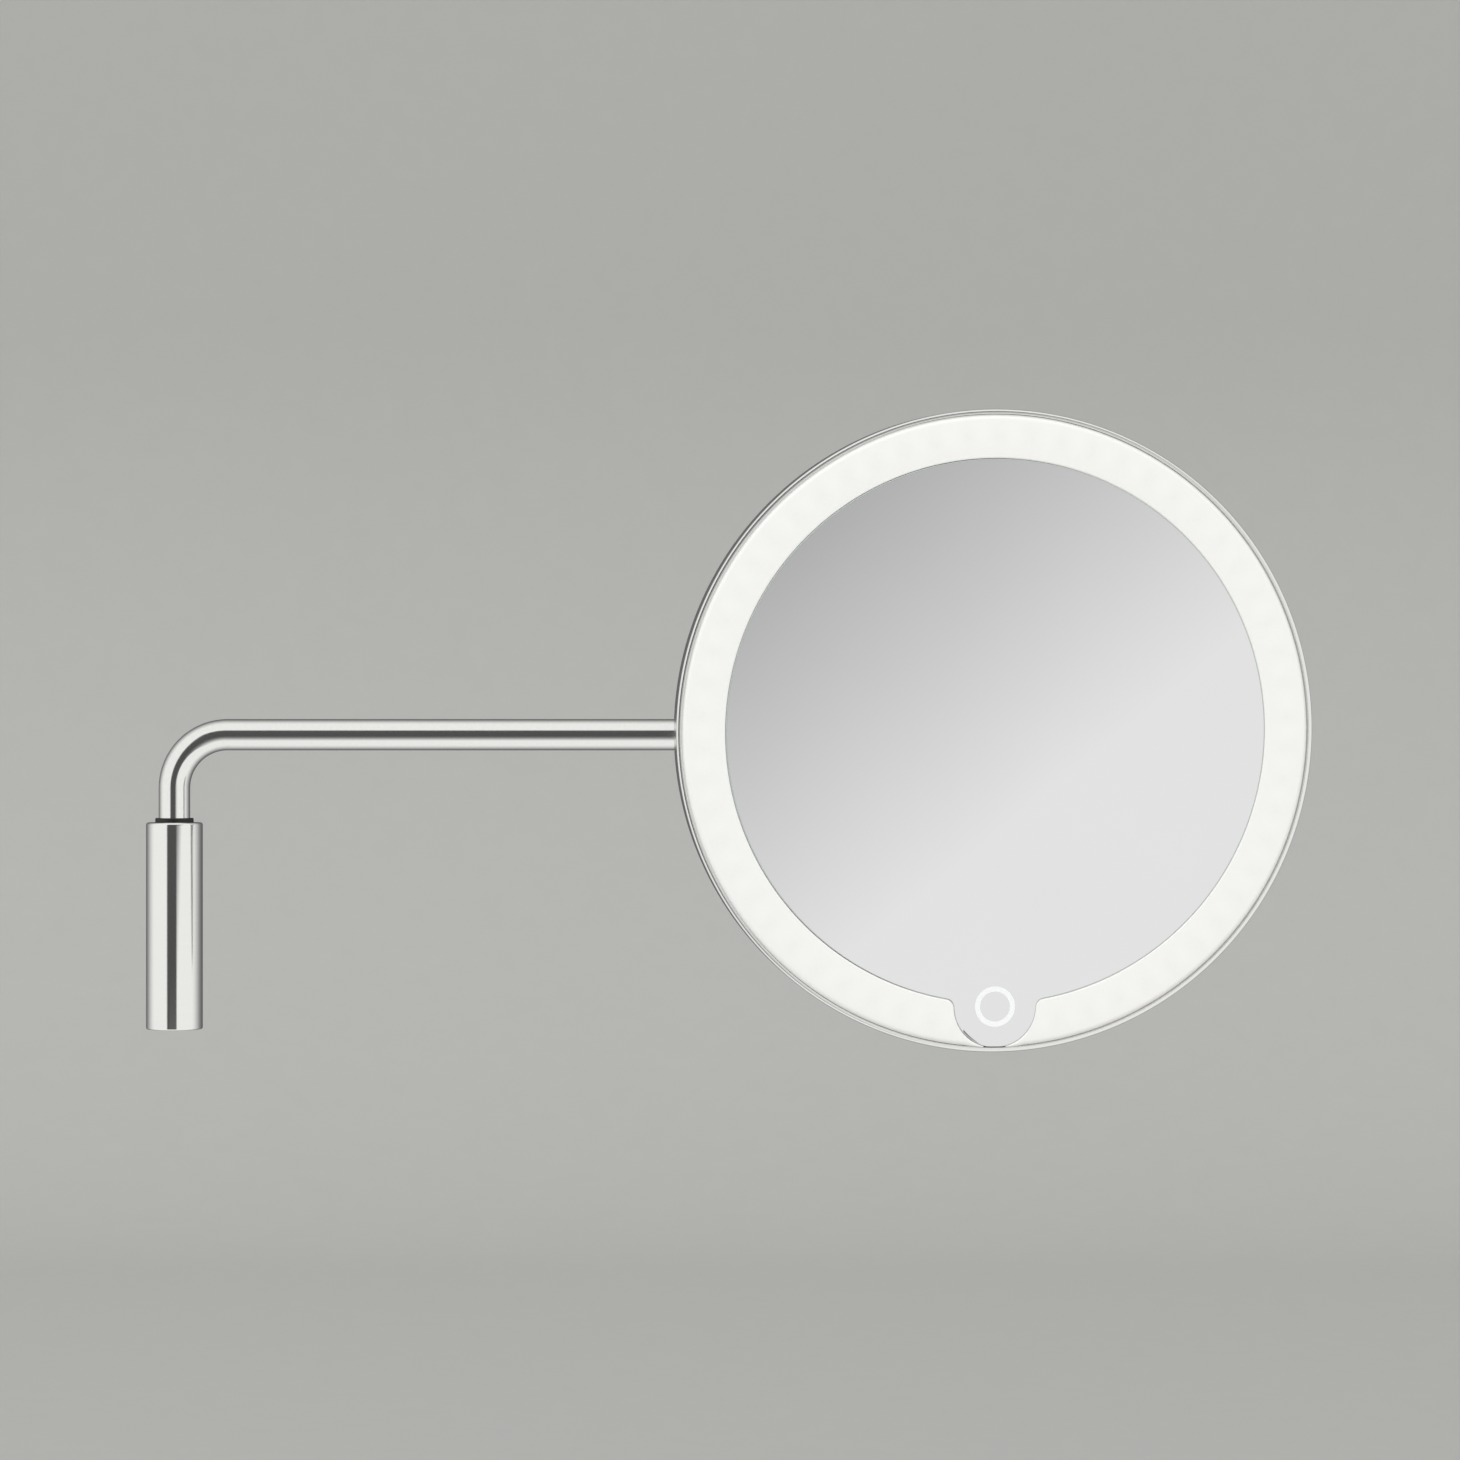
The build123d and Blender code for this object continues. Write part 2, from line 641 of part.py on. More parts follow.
with BuildPart() as chassis:
    wall_in, wall_mid, wall_out = MIRROR_R - 2.2, DIFFUSER_IN - 0.1, DIFFUSER_IN + 1.1
    diffuser_seat = FRONT - DIFFUSER_T
    with BuildSketch(head_section):
        with BuildLine():
            Polyline(
                (TRAY_HOLE_R, TRAY_FRONT),
                (wall_in, TRAY_FRONT),
                (wall_in, GLASS_BACK),
                (wall_mid, GLASS_BACK),
                (wall_mid, diffuser_seat),
                (wall_out, diffuser_seat),
                (wall_out, TROUGH_FLOOR),
                (DIFFUSER_OUT - 1.3, TROUGH_FLOOR),
                (DIFFUSER_OUT - 1.3, diffuser_seat),
                (DIFFUSER_OUT, diffuser_seat),
                (DIFFUSER_OUT, CHASSIS_UNDERSIDE),
                (wall_in - 1.0, CHASSIS_UNDERSIDE),
                (wall_in - 1.0, TRAY_BACK),
                (TRAY_HOLE_R, TRAY_BACK),
                close=True,
            )
        make_face()
        with Locations((DIFFUSER_OUT, TROUGH_FLOOR + 2.0)):
            Rectangle(1.4, 1.2, mode=Mode.SUBTRACT)
    revolve(axis=head_axis)
    # posts for the housing screws and the board screws, up to the tray
    with BuildSketch(head_plane.offset(BACK + SHEET_T)):
        with Locations(*head_points(FIXING_R, 4, 45)):
            Circle(4.0)
    extrude(amount=TRAY_BACK + 0.5 - BACK - SHEET_T)
    with BuildSketch(head_plane.offset(BOARD_DEPTH + BOARD_T)):
        with Locations((BOARD_FIXING[0], -BOARD_FIXING[1]), (-BOARD_FIXING[0], -BOARD_FIXING[1])):
            Circle(2.6)
    extrude(amount=TRAY_BACK + 0.5 - BOARD_DEPTH - BOARD_T)
    # a stand for the touch key's board, in the trough
    with BuildSketch(head_plane.offset(CHASSIS_UNDERSIDE)):
        with Locations((0, -TAB_DROP)):
            Circle(11.4)
    extrude(amount=KEY_SEAT - CHASSIS_UNDERSIDE)
    with BuildSketch(head_plane.offset(KEY_SEAT)):
        with Locations((0, -TAB_DROP)):
            Circle(10.4)
    extrude(amount=6.0, mode=Mode.SUBTRACT)
    with BuildSketch(head_plane.offset(GLASS_BACK)):
        mirror_outline(0.4)
        Circle(MIRROR_R - 6, mode=Mode.SUBTRACT)
        with Locations((0, -TAB_DROP)):
            Rectangle(40, 40, mode=Mode.INTERSECT)
    extrude(amount=6.0, mode=Mode.SUBTRACT)
    with BuildSketch(head_plane.offset(BACK + SHEET_T)):
        with Locations(*head_points(FIXING_R, 4, 45)):
            Circle(1.5)
    extrude(amount=6.0, mode=Mode.SUBTRACT)
    with BuildSketch(head_plane.offset(BOARD_DEPTH + BOARD_T)):
        with Locations((BOARD_FIXING[0], -BOARD_FIXING[1]), (-BOARD_FIXING[0], -BOARD_FIXING[1])):
            Circle(1.0)
    extrude(amount=2.0, mode=Mode.SUBTRACT)

with BuildPart() as rim_seal:
    with BuildSketch(head_section):
        with Locations(((DIFFUSER_OUT + HEAD_R - SHEET_T - 0.7) / 2, TROUGH_FLOOR + 2.0)):
            RectangleRounded(HEAD_R - SHEET_T - DIFFUSER_OUT + 0.7, 1.2, 0.3)
    revolve(axis=head_axis)

with BuildPart() as led_board:
    with BuildSketch(head_plane.offset(TROUGH_FLOOR)):
        Circle(DIFFUSER_OUT - 2.0)
        Circle(DIFFUSER_IN + 1.9, mode=Mode.SUBTRACT)
        with Locations((0, -LED_RING_R)):
            Rectangle(24.0, 24.0, mode=Mode.SUBTRACT)
    extrude(amount=1.0)

with BuildPart() as leds:
    with BuildSketch(head_plane.offset(TROUGH_FLOOR + 1.0)):
        with PolarLocations(LED_RING_R, LED_COUNT, -90 + 10, 340, endpoint=True):
            Rectangle(2.8, 3.5)
    extrude(amount=0.8)

with BuildPart() as touch_board:
    with BuildSketch(head_plane.offset(KEY_SEAT)):
        with Locations((0, -TAB_DROP)):
            Circle(10.2)
    extrude(amount=KEY_BOARD_T)

with BuildPart() as key_light_guide:
    with BuildSketch(head_plane.offset(KEY_SEAT + KEY_BOARD_T)):
        with Locations((0, -TAB_DROP)):
            Circle(KEY_OUTER_R + 0.2)
            Circle(KEY_INNER_R - 0.2, mode=Mode.SUBTRACT)
    extrude(amount=KEY_GUIDE_T)

with BuildPart() as mounting_tape:
    with BuildSketch(head_plane.offset(TRAY_FRONT)):
        Circle(74.0)
        Circle(40.0, mode=Mode.SUBTRACT)
    extrude(amount=TAPE_T)

with BuildPart() as touch_ring:
    with BuildSketch(head_plane.offset(GLASS_FRONT)):
        with Locations((0, -TAB_DROP)):
            Circle(KEY_OUTER_R)
            Circle(KEY_INNER_R, mode=Mode.SUBTRACT)
    extrude(amount=-ETCH_T)

with BuildPart() as mirror_glass:
    with BuildSketch(head_plane.offset(GLASS_BACK)):
        mirror_outline(0.0)
        Circle(DIFFUSER_OUT, mode=Mode.INTERSECT)
    extrude(amount=GLASS_T)
    with BuildSketch(head_plane.offset(GLASS_FRONT)):
        with Locations((0, -TAB_DROP)):
            Circle(KEY_OUTER_R)
            Circle(KEY_INNER_R, mode=Mode.SUBTRACT)
    extrude(amount=-ETCH_T, mode=Mode.SUBTRACT)

with BuildPart() as diffuser_ring:
    with BuildSketch(head_section):
        with Locations(((DIFFUSER_IN + DIFFUSER_OUT) / 2, FRONT - DIFFUSER_T / 2)):
            Rectangle(DIFFUSER_OUT - DIFFUSER_IN, DIFFUSER_T)
        front_corners = vertices().group_by(Axis.Y)[-1].sort_by(Axis.X)
        fillet(front_corners[-1], 1.8)
        fillet(front_corners[0], 0.5)
    revolve(axis=head_axis)
    with BuildSketch(head_plane.offset(BACK)):
        mirror_outline(0.2)
        with Locations((0, -HEAD_R)):
            Rectangle(HORN_GAP, 2 * (HEAD_R - TAB_DROP - TAB_R / 2))
    extrude(amount=FRONT, mode=Mode.SUBTRACT)

# ---------------------------------------------------------------- one file for each piece
pieces = {
    "wall_plate": wall_plate,
    "wall_spacer": wall_spacer,
    "grub_screw": grub_screw,
    "barrel": barrel,
    "barrel_end_cap": barrel_end_cap,
    "upper_bush": upper_bush,
    "lower_bush": lower_bush,
    "arm_tube": arm_tube,
    "foot_insert": foot_insert,
    "thrust_washer": thrust_washer,
    "retaining_screw": retaining_screw,
    "disc_spring": disc_spring,
    "tip_plug": tip_plug,
    "ball_stud": ball_stud,
    "ball_liner": ball_liner,
    "pressure_cup": pressure_cup,
    "ball_socket": ball_socket,
    "clamp_ring": clamp_ring,
    "socket_screws": socket_screws,
    "housing": housing,
    "housing_screws": housing_screws,
    "port_cover": port_cover,
    "cell_tape": cell_tape,
    "battery_cell": battery_cell,
    "battery_leads": battery_leads,
    "control_board": control_board,
    "board_chips": board_chips,
    "charge_port": charge_port,
    "board_screws": board_screws,
    "chassis": chassis,
    "rim_seal": rim_seal,
    "led_board": led_board,
    "leds": leds,
    "touch_board": touch_board,
    "key_light_guide": key_light_guide,
    "mounting_tape": mounting_tape,
    "touch_ring": touch_ring,
    "mirror_glass": mirror_glass,
    "diffuser_ring": diffuser_ring,
}
os.makedirs("parts", exist_ok=True)
for name, piece in pieces.items():
    piece.part.label = name
    export_step(piece.part, f"parts/{name}.step")
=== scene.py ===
import json
import math

import bmesh
import bpy
import numpy as np
from mathutils import Matrix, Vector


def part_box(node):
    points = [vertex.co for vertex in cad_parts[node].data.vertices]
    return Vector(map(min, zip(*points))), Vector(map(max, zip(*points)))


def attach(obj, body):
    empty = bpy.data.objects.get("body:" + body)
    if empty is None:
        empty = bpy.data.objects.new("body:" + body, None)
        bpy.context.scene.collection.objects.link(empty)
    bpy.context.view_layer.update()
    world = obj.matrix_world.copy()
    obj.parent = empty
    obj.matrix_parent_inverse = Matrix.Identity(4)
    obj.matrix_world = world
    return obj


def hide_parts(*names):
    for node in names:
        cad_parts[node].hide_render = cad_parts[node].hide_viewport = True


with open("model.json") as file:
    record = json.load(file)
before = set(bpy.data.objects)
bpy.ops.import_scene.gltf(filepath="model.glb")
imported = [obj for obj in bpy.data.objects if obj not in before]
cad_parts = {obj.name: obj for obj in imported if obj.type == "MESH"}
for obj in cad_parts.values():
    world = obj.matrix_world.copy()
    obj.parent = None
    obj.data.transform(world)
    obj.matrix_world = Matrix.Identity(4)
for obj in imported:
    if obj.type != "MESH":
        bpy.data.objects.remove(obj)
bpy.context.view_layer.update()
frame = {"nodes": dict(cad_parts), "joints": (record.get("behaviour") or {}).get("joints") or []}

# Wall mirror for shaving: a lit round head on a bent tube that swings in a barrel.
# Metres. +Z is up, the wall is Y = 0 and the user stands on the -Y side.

mm = 0.001


# ---- where things are, read from the frame
def unit(vector):
    return vector / np.linalg.norm(vector)


joints = {joint["name"]: joint for joint in frame["joints"]}
ball = np.array(joints["head_spin"]["pos_m"])
facing = unit(np.array(joints["head_spin"]["axis"]))
headRight = unit(np.array(joints["head_nod"]["axis"]))
headUp = np.cross(facing, headRight)
headAxes = (ball, headRight, headUp, facing)  # depths count forwards from the ball's centre


def boxOf(node):
    low, high = (np.array(corner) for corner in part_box(node))
    return low, high, (low + high) / 2


barrelLow, barrelHigh, barrelMiddle = boxOf("barrel")
alongX, alongY, alongZ = np.eye(3)
barrelAxes = (barrelMiddle, alongX, alongY, alongZ)
tubeLow, tubeHigh = boxOf("arm_tube")[:2]
tipHigh = boxOf("tip_plug")[1]


# ---- meshes
def newObject(name, points, faces, sharp=32.0):
    # merges seams and poles, points the faces outwards and marks the hard edges
    mesh = bpy.data.meshes.new(name)
    mesh.from_pydata(np.asarray(points).tolist(), [], np.asarray(faces).tolist())
    work = bmesh.new()
    work.from_mesh(mesh)
    bmesh.ops.remove_doubles(work, verts=work.verts, dist=0.002 * mm)
    bmesh.ops.recalc_face_normals(work, faces=work.faces)
    work.to_mesh(mesh)
    work.free()
    mesh.polygons.foreach_set("use_smooth", np.ones(len(mesh.polygons), dtype=bool))
    mesh.set_sharp_from_angle(angle=math.radians(sharp))
    piece = bpy.data.objects.new(name, mesh)
    bpy.context.scene.collection.objects.link(piece)
    return piece


def gridFaces(rows, columns, closeRows=False, closeColumns=False):
    # every cell of a grid as a quad; a closed direction joins its last line to its first
    i = np.arange(rows if closeRows else rows - 1)
    j = np.arange(columns if closeColumns else columns - 1)
    i, j = (a.ravel() for a in np.meshgrid(i, j, indexing="ij"))
    nextI, nextJ = (i + 1) % rows, (j + 1) % columns
    corners = [(i, j), (nextI, j), (nextI, nextJ), (i, nextJ)]
    return np.stack([row * columns + column for row, column in corners], axis=1)


def inPlace(local, axes):
    # origin + x * first axis + y * second axis + z * third axis, for points in mm
    origin, first, second, third = axes
    return origin + mm * (local[..., :1] * first + local[..., 1:2] * second + local[..., 2:3] * third)


def roundedProfile(corners, closed=True, steps=6):
    # corners are (radius, height, rounding): each becomes an arc whose centre lies on the bisector,
    # rounding / sin(half the inner angle) from the corner, and whose points turn evenly about it
    points = np.array([corner[:2] for corner in corners], dtype=float)
    pieces = []
    for i, corner in enumerate(corners):
        here, rounding = points[i], corner[2] if len(corner) > 2 else 0.0
        if rounding == 0 or (not closed and i in (0, len(corners) - 1)):
            pieces.append(here[None])
            continue
        back, onward = unit(points[i - 1] - here), unit(points[(i + 1) % len(points)] - here)
        half = math.acos(np.clip(back @ onward, -1, 1)) / 2
        centre = here + unit(back + onward) * rounding / math.sin(half)
        start, end = (here + way * rounding / math.tan(half) - centre for way in (back, onward))
        turn, t = math.pi - 2 * half, np.linspace(0, 1, steps + 1)[:, None]
        arc = (np.sin((1 - t) * turn) * start + np.sin(t * turn) * end) / math.sin(turn)
        pieces.append(centre + arc)
    return np.concatenate(pieces)


def turned(name, profile, axes, segments=96, closed=True, flute=None, sharp=32.0):
    # a profile turned about an axis: (radius cos a, radius sin a, height), a from 0 to a full turn;
    # flute(a, radius, height) may change the radius
    a = np.linspace(0, 2 * math.pi, segments, endpoint=False)[:, None]
    radius, height = np.broadcast_arrays(profile[:, 0] + 0 * a, profile[:, 1] + 0 * a)
    if flute:
        radius = flute(a, radius, height)
    local = np.stack([radius * np.cos(a), radius * np.sin(a), height], axis=-1)
    points = inPlace(local, axes).reshape(-1, 3)
    return newObject(name, points, gridFaces(segments, len(profile), True, closed), sharp)


# ---- materials
def linear(hexColour):
    # sRGB hex to linear: c / 12.92 below 0.04045, else ((c + 0.055) / 1.055) to the power 2.4
    c = np.array([int(hexColour[i : i + 2], 16) / 255 for i in (0, 2, 4)])
    return (*np.where(c <= 0.04045, c / 12.92, ((c + 0.055) / 1.055) ** 2.4).tolist(), 1.0)


def addNode(tree, kind, settings=None, links=None):
    # settings are the node's own properties, or the values of its inputs; links are input: output
    node = tree.nodes.new(kind)
    for key, value in (settings or {}).items():
        if isinstance(key, str) and hasattr(node, key):
            setattr(node, key, value)
        else:
            node.inputs[key].default_value = value
    for key, output in (links or {}).items():
        tree.links.new(output, node.inputs[key])
    return node


def newMaterial(name, shader):
    # a material with its Principled shader set up; returns it with its tree and shader
    material = bpy.data.materials.new(name)
    material.use_nodes = True
    tree = material.node_tree
    principled = next(node for node in tree.nodes if node.type == "BSDF_PRINCIPLED")
    for key, value in shader.items():
        principled.inputs[key].default_value = value
    return material, tree, principled


def headCoordinates(tree):
    # position in the head's own axes: right, up, forwards
    turn = Matrix(np.stack([headRight, headUp, facing], axis=1).tolist()).to_euler()
    coordinates = addNode(tree, "ShaderNodeTexCoord")
    settings = {"vector_type": "TEXTURE", "Location": ball.tolist(), "Rotation": turn}
    links = {"Vector": coordinates.outputs["Object"]}
    return addNode(tree, "ShaderNodeMapping", settings, links).outputs[0]


def polarCoordinates(tree):
    # (distance from the head's axis, angle about it, depth)
    split = addNode(tree, "ShaderNodeSeparateXYZ", None, {0: headCoordinates(tree)})
    flat = addNode(tree, "ShaderNodeCombineXYZ", None, {0: split.outputs[0], 1: split.outputs[1]})
    distance = addNode(tree, "ShaderNodeVectorMath", {"operation": "LENGTH"}, {0: flat.outputs[0]})
    upAndRight = {0: split.outputs[1], 1: split.outputs[0]}
    angle = addNode(tree, "ShaderNodeMath", {"operation": "ARCTAN2"}, upAndRight)
    return distance.outputs["Value"], angle.outputs[0], split.outputs[2]


def stretched(tree, scale, source=None):
    # object coordinates, in metres, times a scale for each axis
    source = source or addNode(tree, "ShaderNodeTexCoord").outputs["Object"]
    return addNode(tree, "ShaderNodeMapping", {"Scale": scale}, {"Vector": source}).outputs[0]


def finish(tree, principled, pattern, colours=None, roughness=None, bump=None, bumpDistance=0.02):
    # one pattern drives the colour between two hex values, the roughness and the bump
    if colours:
        ends = {6: linear(colours[0]), 7: linear(colours[1])}
        tint = addNode(tree, "ShaderNodeMix", {"data_type": "RGBA", **ends}, {0: pattern})
        tree.links.new(tint.outputs[2], principled.inputs["Base Color"])
    if roughness:
        ends = {"To Min": roughness[0], "To Max": roughness[1]}
        gloss = addNode(tree, "ShaderNodeMapRange", ends, {"Value": pattern})
        tree.links.new(gloss.outputs[0], principled.inputs["Roughness"])
    if bump:
        settings = {"Strength": bump, "Distance": bumpDistance * mm}
        relief = addNode(tree, "ShaderNodeBump", settings, {"Height": pattern})
        tree.links.new(relief.outputs[0], principled.inputs["Normal"])


def noise(tree, vector, scale, detail=3.0, roughness=0.5):
    settings = {"Scale": scale, "Detail": detail, "Roughness": roughness}
    return addNode(tree, "ShaderNodeTexNoise", settings, {"Vector": vector}).outputs[0]


def brushedSteel(name, scale, colours=("dededc", "e8e8e6"), roughness=(0.1, 0.17), bump=0.03):
    # satin stainless steel: a fine pattern varies the colour, the roughness and the relief a little.
    # scale is cells to the metre along each axis; unequal scales draw the cells out into lines,
    # and equal ones leave them even. the barrel's lines are 0.2 mm wide, coarser than real grit
    material, tree, principled = newMaterial(name, {"Metallic": 1.0})
    lines = noise(tree, stretched(tree, scale), 1.0, 4.0, 0.6)
    finish(tree, principled, lines, colours, roughness, bump)
    return material


def mouldedPlastic(name, colours, roughness, grain=0.6, bump=0.15, extra=None):
    # moulded plastic: an even colour with the fine texture of the mould, grain in mm
    material, tree, principled = newMaterial(name, {"IOR": 1.5, **(extra or {})})
    spots = noise(tree, stretched(tree, (1, 1, 1)), 1 / (grain * mm), 3.0, 0.55)
    finish(tree, principled, spots, colours, roughness, bump)
    return material


barrelSteel = brushedSteel(
    "brushed stainless, barrel", (60, 60, 4500), roughness=(0.08, 0.13), bump=0.015
)
tubeSteel = brushedSteel(
    "brushed stainless, tube", (900, 900, 900), roughness=(0.1, 0.16), bump=0.015
)
spacerSteel = brushedSteel("brushed stainless, spacer", (150, 150, 4000))
turnedSteel = brushedSteel(
    "turned stainless", (2500, 2500, 2500), ("a5a5a4", "bdbdbb"), (0.25, 0.38), 0.08
)
brightSteel = brushedSteel(
    "bright stainless", (1500, 1500, 1500), ("aeaeac", "c4c4c2"), (0.2, 0.32), 0.04
)
polishedSteel = brushedSteel(
    "polished stainless", (400, 400, 400), ("c4c4c4", "cecece"), (0.06, 0.1), 0.01
)

# pressed stainless, brushed on a turntable: the lines run round the head's axis
panSteel, tree, principled = newMaterial("brushed stainless, pan", {"Metallic": 1.0})
distance, angle, depth = polarCoordinates(tree)
along = addNode(tree, "ShaderNodeMath", {"operation": "MULTIPLY", 1: 1.5}, {0: angle})
across = addNode(tree, "ShaderNodeMath", {"operation": "ADD"}, {0: distance, 1: depth})
fine = addNode(tree, "ShaderNodeMath", {"operation": "MULTIPLY", 1: 3500.0}, {0: across.outputs[0]})
grit = addNode(tree, "ShaderNodeCombineXYZ", None, {0: fine.outputs[0], 1: along.outputs[0]})
brushing = noise(tree, grit.outputs[0], 1.0, 4.0, 0.6)
finish(tree, principled, brushing, ("dcdcda", "e8e8e6"), (0.16, 0.26), 0.04)

# silvered glass: a hard, clean reflection with the faintest haze of wiping
silveredGlass, tree, principled = newMaterial("silvered glass", {"Metallic": 1.0})
haze = noise(tree, stretched(tree, (1, 1, 1)), 22.0, 4.0)
finish(tree, principled, haze, ("dadbdb", "dddede"), (0.0, 0.03))

# ground edge of float glass: pale grey-green and dull
groundEdge = mouldedPlastic("ground glass edge", ("c4cdca", "d3dad7"), (0.3, 0.45), 0.3, 0.1)

# etched glass over a lit key: a soft white line in the mirror
etchedGlass = mouldedPlastic(
    "etched glass", ("e6e8e8", "f2f4f4"), (0.45, 0.6), 0.2, 0.1,
    {"Emission Color": linear("ffffff"), "Emission Strength": 0.22},
)

# frosted acrylic with lights behind: even white with faint brighter spots, about one to each light
frosted, tree, principled = newMaterial(
    "frosted acrylic", {"IOR": 1.49, "Emission Color": linear("fffefb"), "Coat Weight": 0.15}
)
distance, angle = polarCoordinates(tree)[:2]
lights = {"aTurn": 58.0, "radius": 92.0, "spread": 5.0, "low": 0.23, "high": 0.265}
phase = addNode(tree, "ShaderNodeMath", {"operation": "MULTIPLY", 1: lights["aTurn"]}, {0: angle})
wave = addNode(tree, "ShaderNodeMath", {"operation": "COSINE"}, {0: phase.outputs[0]})
fromRow = {"operation": "SUBTRACT", 1: lights["radius"] * mm}
offset = addNode(tree, "ShaderNodeMath", fromRow, {0: distance})
reach = addNode(tree, "ShaderNodeMath", {"operation": "ABSOLUTE"}, {0: offset.outputs[0]})
near = addNode(
    tree, "ShaderNodeMapRange",
    {
        "interpolation_type": "SMOOTHSTEP", "From Max": lights["spread"] * mm,
        "To Min": 1.0, "To Max": 0.0,
    },
    {"Value": reach.outputs[0]},
)
factors = {0: wave.outputs[0], 1: near.outputs[0]}
glow = addNode(tree, "ShaderNodeMath", {"operation": "MULTIPLY"}, factors)
strength = addNode(
    tree, "ShaderNodeMapRange", {"From Min": -1.0, "To Min": lights["low"], "To Max": lights["high"]},
    {"Value": glow.outputs[0]},
)
tree.links.new(strength.outputs[0], principled.inputs["Emission Strength"])
frosting = noise(tree, headCoordinates(tree), 900.0)
finish(tree, principled, frosting, ("dededc", "e6e6e4"), (0.38, 0.5), 0.05)

blackNylon = mouldedPlastic("black nylon", ("0b0b0b", "171717"), (0.42, 0.58), 0.35)
whiteAbs = mouldedPlastic("white ABS", ("dcdcd8", "e8e8e4"), (0.4, 0.55), 0.8)
acetal = mouldedPlastic("natural acetal", ("dcdbd2", "e6e5dc"), (0.3, 0.42), 0.5, 0.08)
clearGuide = mouldedPlastic("clear acrylic guide", ("e4e8e8", "f0f2f2"), (0.1, 0.2), 0.4, 0.05)
blackRubber = mouldedPlastic("black rubber", ("0d0d0d", "1b1b1b"), (0.6, 0.8), 0.25, 0.25)
greySilicone = mouldedPlastic("grey silicone", ("4a4b4c", "58595a"), (0.5, 0.68), 0.3, 0.2)
foamTape = mouldedPlastic("white foam tape", ("cfcfca", "e2e2de"), (0.75, 0.95), 0.5, 0.5)
redWire = mouldedPlastic("red wire insulation", ("8c1512", "a3201b"), (0.35, 0.5), 0.6, 0.05)
greenBoard = mouldedPlastic("green solder mask", ("0f4a2a", "1a5c36"), (0.25, 0.4), 1.2, 0.05)
whiteBoard = mouldedPlastic("white solder mask", ("dfe1e0", "ecedec"), (0.3, 0.42), 1.2, 0.05)
chipResin = mouldedPlastic("chip resin", ("141414", "242424"), (0.5, 0.65), 0.2, 0.15)
ledResin = mouldedPlastic("led resin", ("f2e3a2", "f7efc4"), (0.25, 0.4), 0.4, 0.05)
foilPouch = brushedSteel("foil pouch", (300, 300, 300), ("b8babd", "cfd1d3"), (0.3, 0.5), 0.2)
castAluminium = brushedSteel(
    "cast aluminium", (1100, 1100, 1100), ("a9acae", "c3c5c7"), (0.38, 0.55), 0.25
)
turnedBrass = brushedSteel("turned brass", (2500, 2500, 2500), ("b08d4c", "c9a865"), (0.25, 0.36), 0.08)

nodeFinishes = {
    castAluminium: ["wall_plate", "ball_socket"],
    spacerSteel: ["wall_spacer"],
    brightSteel: ["grub_screw", "retaining_screw", "board_screws", "disc_spring", "charge_port"],
    blackNylon: ["barrel_end_cap", "lower_bush", "thrust_washer"],
    turnedBrass: ["foot_insert"],
    acetal: ["ball_liner", "pressure_cup"],
    foamTape: ["cell_tape", "mounting_tape"],
    foilPouch: ["battery_cell"],
    redWire: ["battery_leads"],
    greenBoard: ["control_board", "touch_board"],
    whiteBoard: ["led_board"],
    chipResin: ["board_chips"],
    ledResin: ["leds"],
    clearGuide: ["key_light_guide"],
    whiteAbs: ["chassis"],
    blackRubber: ["rim_seal"],
    greySilicone: ["port_cover"],
}
for material, nodes in nodeFinishes.items():
    for node in nodes:
        frame["nodes"][node].data.materials.clear()
        frame["nodes"][node].data.materials.append(material)
print("materials done")


def place(piece, material, body, slot, *nodes):
    # gives a new piece its finish, the body it rides on and the nodes it stands for
    piece.data.materials.append(material)
    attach(piece, body)
    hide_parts(*nodes)


# ---- barrel and upper bush
# heights count up from the barrel's middle
barrel = {"bore": 6.5, "middleBore": 5.7, "capBore": 7.5, "capTop": -19.0}
barrel.update({"middleFrom": -9.0, "middleTo": 21.0, "topRound": 0.8, "footRound": 0.5})
barrel.update({"boreRound": 0.3, "capRound": 0.2})
outer = (barrelHigh[0] - barrelLow[0]) / 2 / mm
half = (barrelHigh[2] - barrelLow[2]) / 2 / mm
profile = roundedProfile([
    (barrel["bore"], half, barrel["boreRound"]),
    (outer, half, barrel["topRound"]),
    (outer, -half, barrel["footRound"]),
    (barrel["capBore"], -half, barrel["capRound"]),
    (barrel["capBore"], barrel["capTop"]),
    (barrel["bore"], barrel["capTop"]),
    (barrel["bore"], barrel["middleFrom"]),
    (barrel["middleBore"], barrel["middleFrom"]),
    (barrel["middleBore"], barrel["middleTo"]),
    (barrel["bore"], barrel["middleTo"]),
])
piece = turned("barrel_tube", profile, barrelAxes, 160)
place(piece, barrelSteel, "wall_mount", "satin stainless steel", "barrel")

bush = {"bore": 5.03, "seat": 6.5, "collar": 6.1, "stand": 1.4, "edge": 0.35}
bush.update({"depth": 12, "step": 0.4, "boreRound": 0.2})
profile = roundedProfile([
    (bush["bore"], half - bush["depth"]),
    (bush["seat"], half - bush["depth"]),
    (bush["seat"], half - bush["step"]),
    (bush["collar"], half - bush["step"]),
    (bush["collar"], half + bush["stand"], bush["edge"]),
    (bush["bore"], half + bush["stand"], bush["boreRound"]),
])
piece = turned("barrel_bush", profile, barrelAxes, 96)
place(piece, blackNylon, "wall_mount", "black nylon", "upper_bush")
print("barrel done")

# ---- arm
arm = {"radius": 5.0, "bore": 3.7, "bend": 17.0, "around": 72}
arm.update({"riseSteps": 8, "bendSteps": 40, "levelSteps": 20})
foot = np.array([barrelMiddle[0], barrelMiddle[1], tubeLow[2]])
level = tubeHigh[2] - arm["radius"] * mm
end = tubeHigh[0]
bend = arm["bend"] * mm
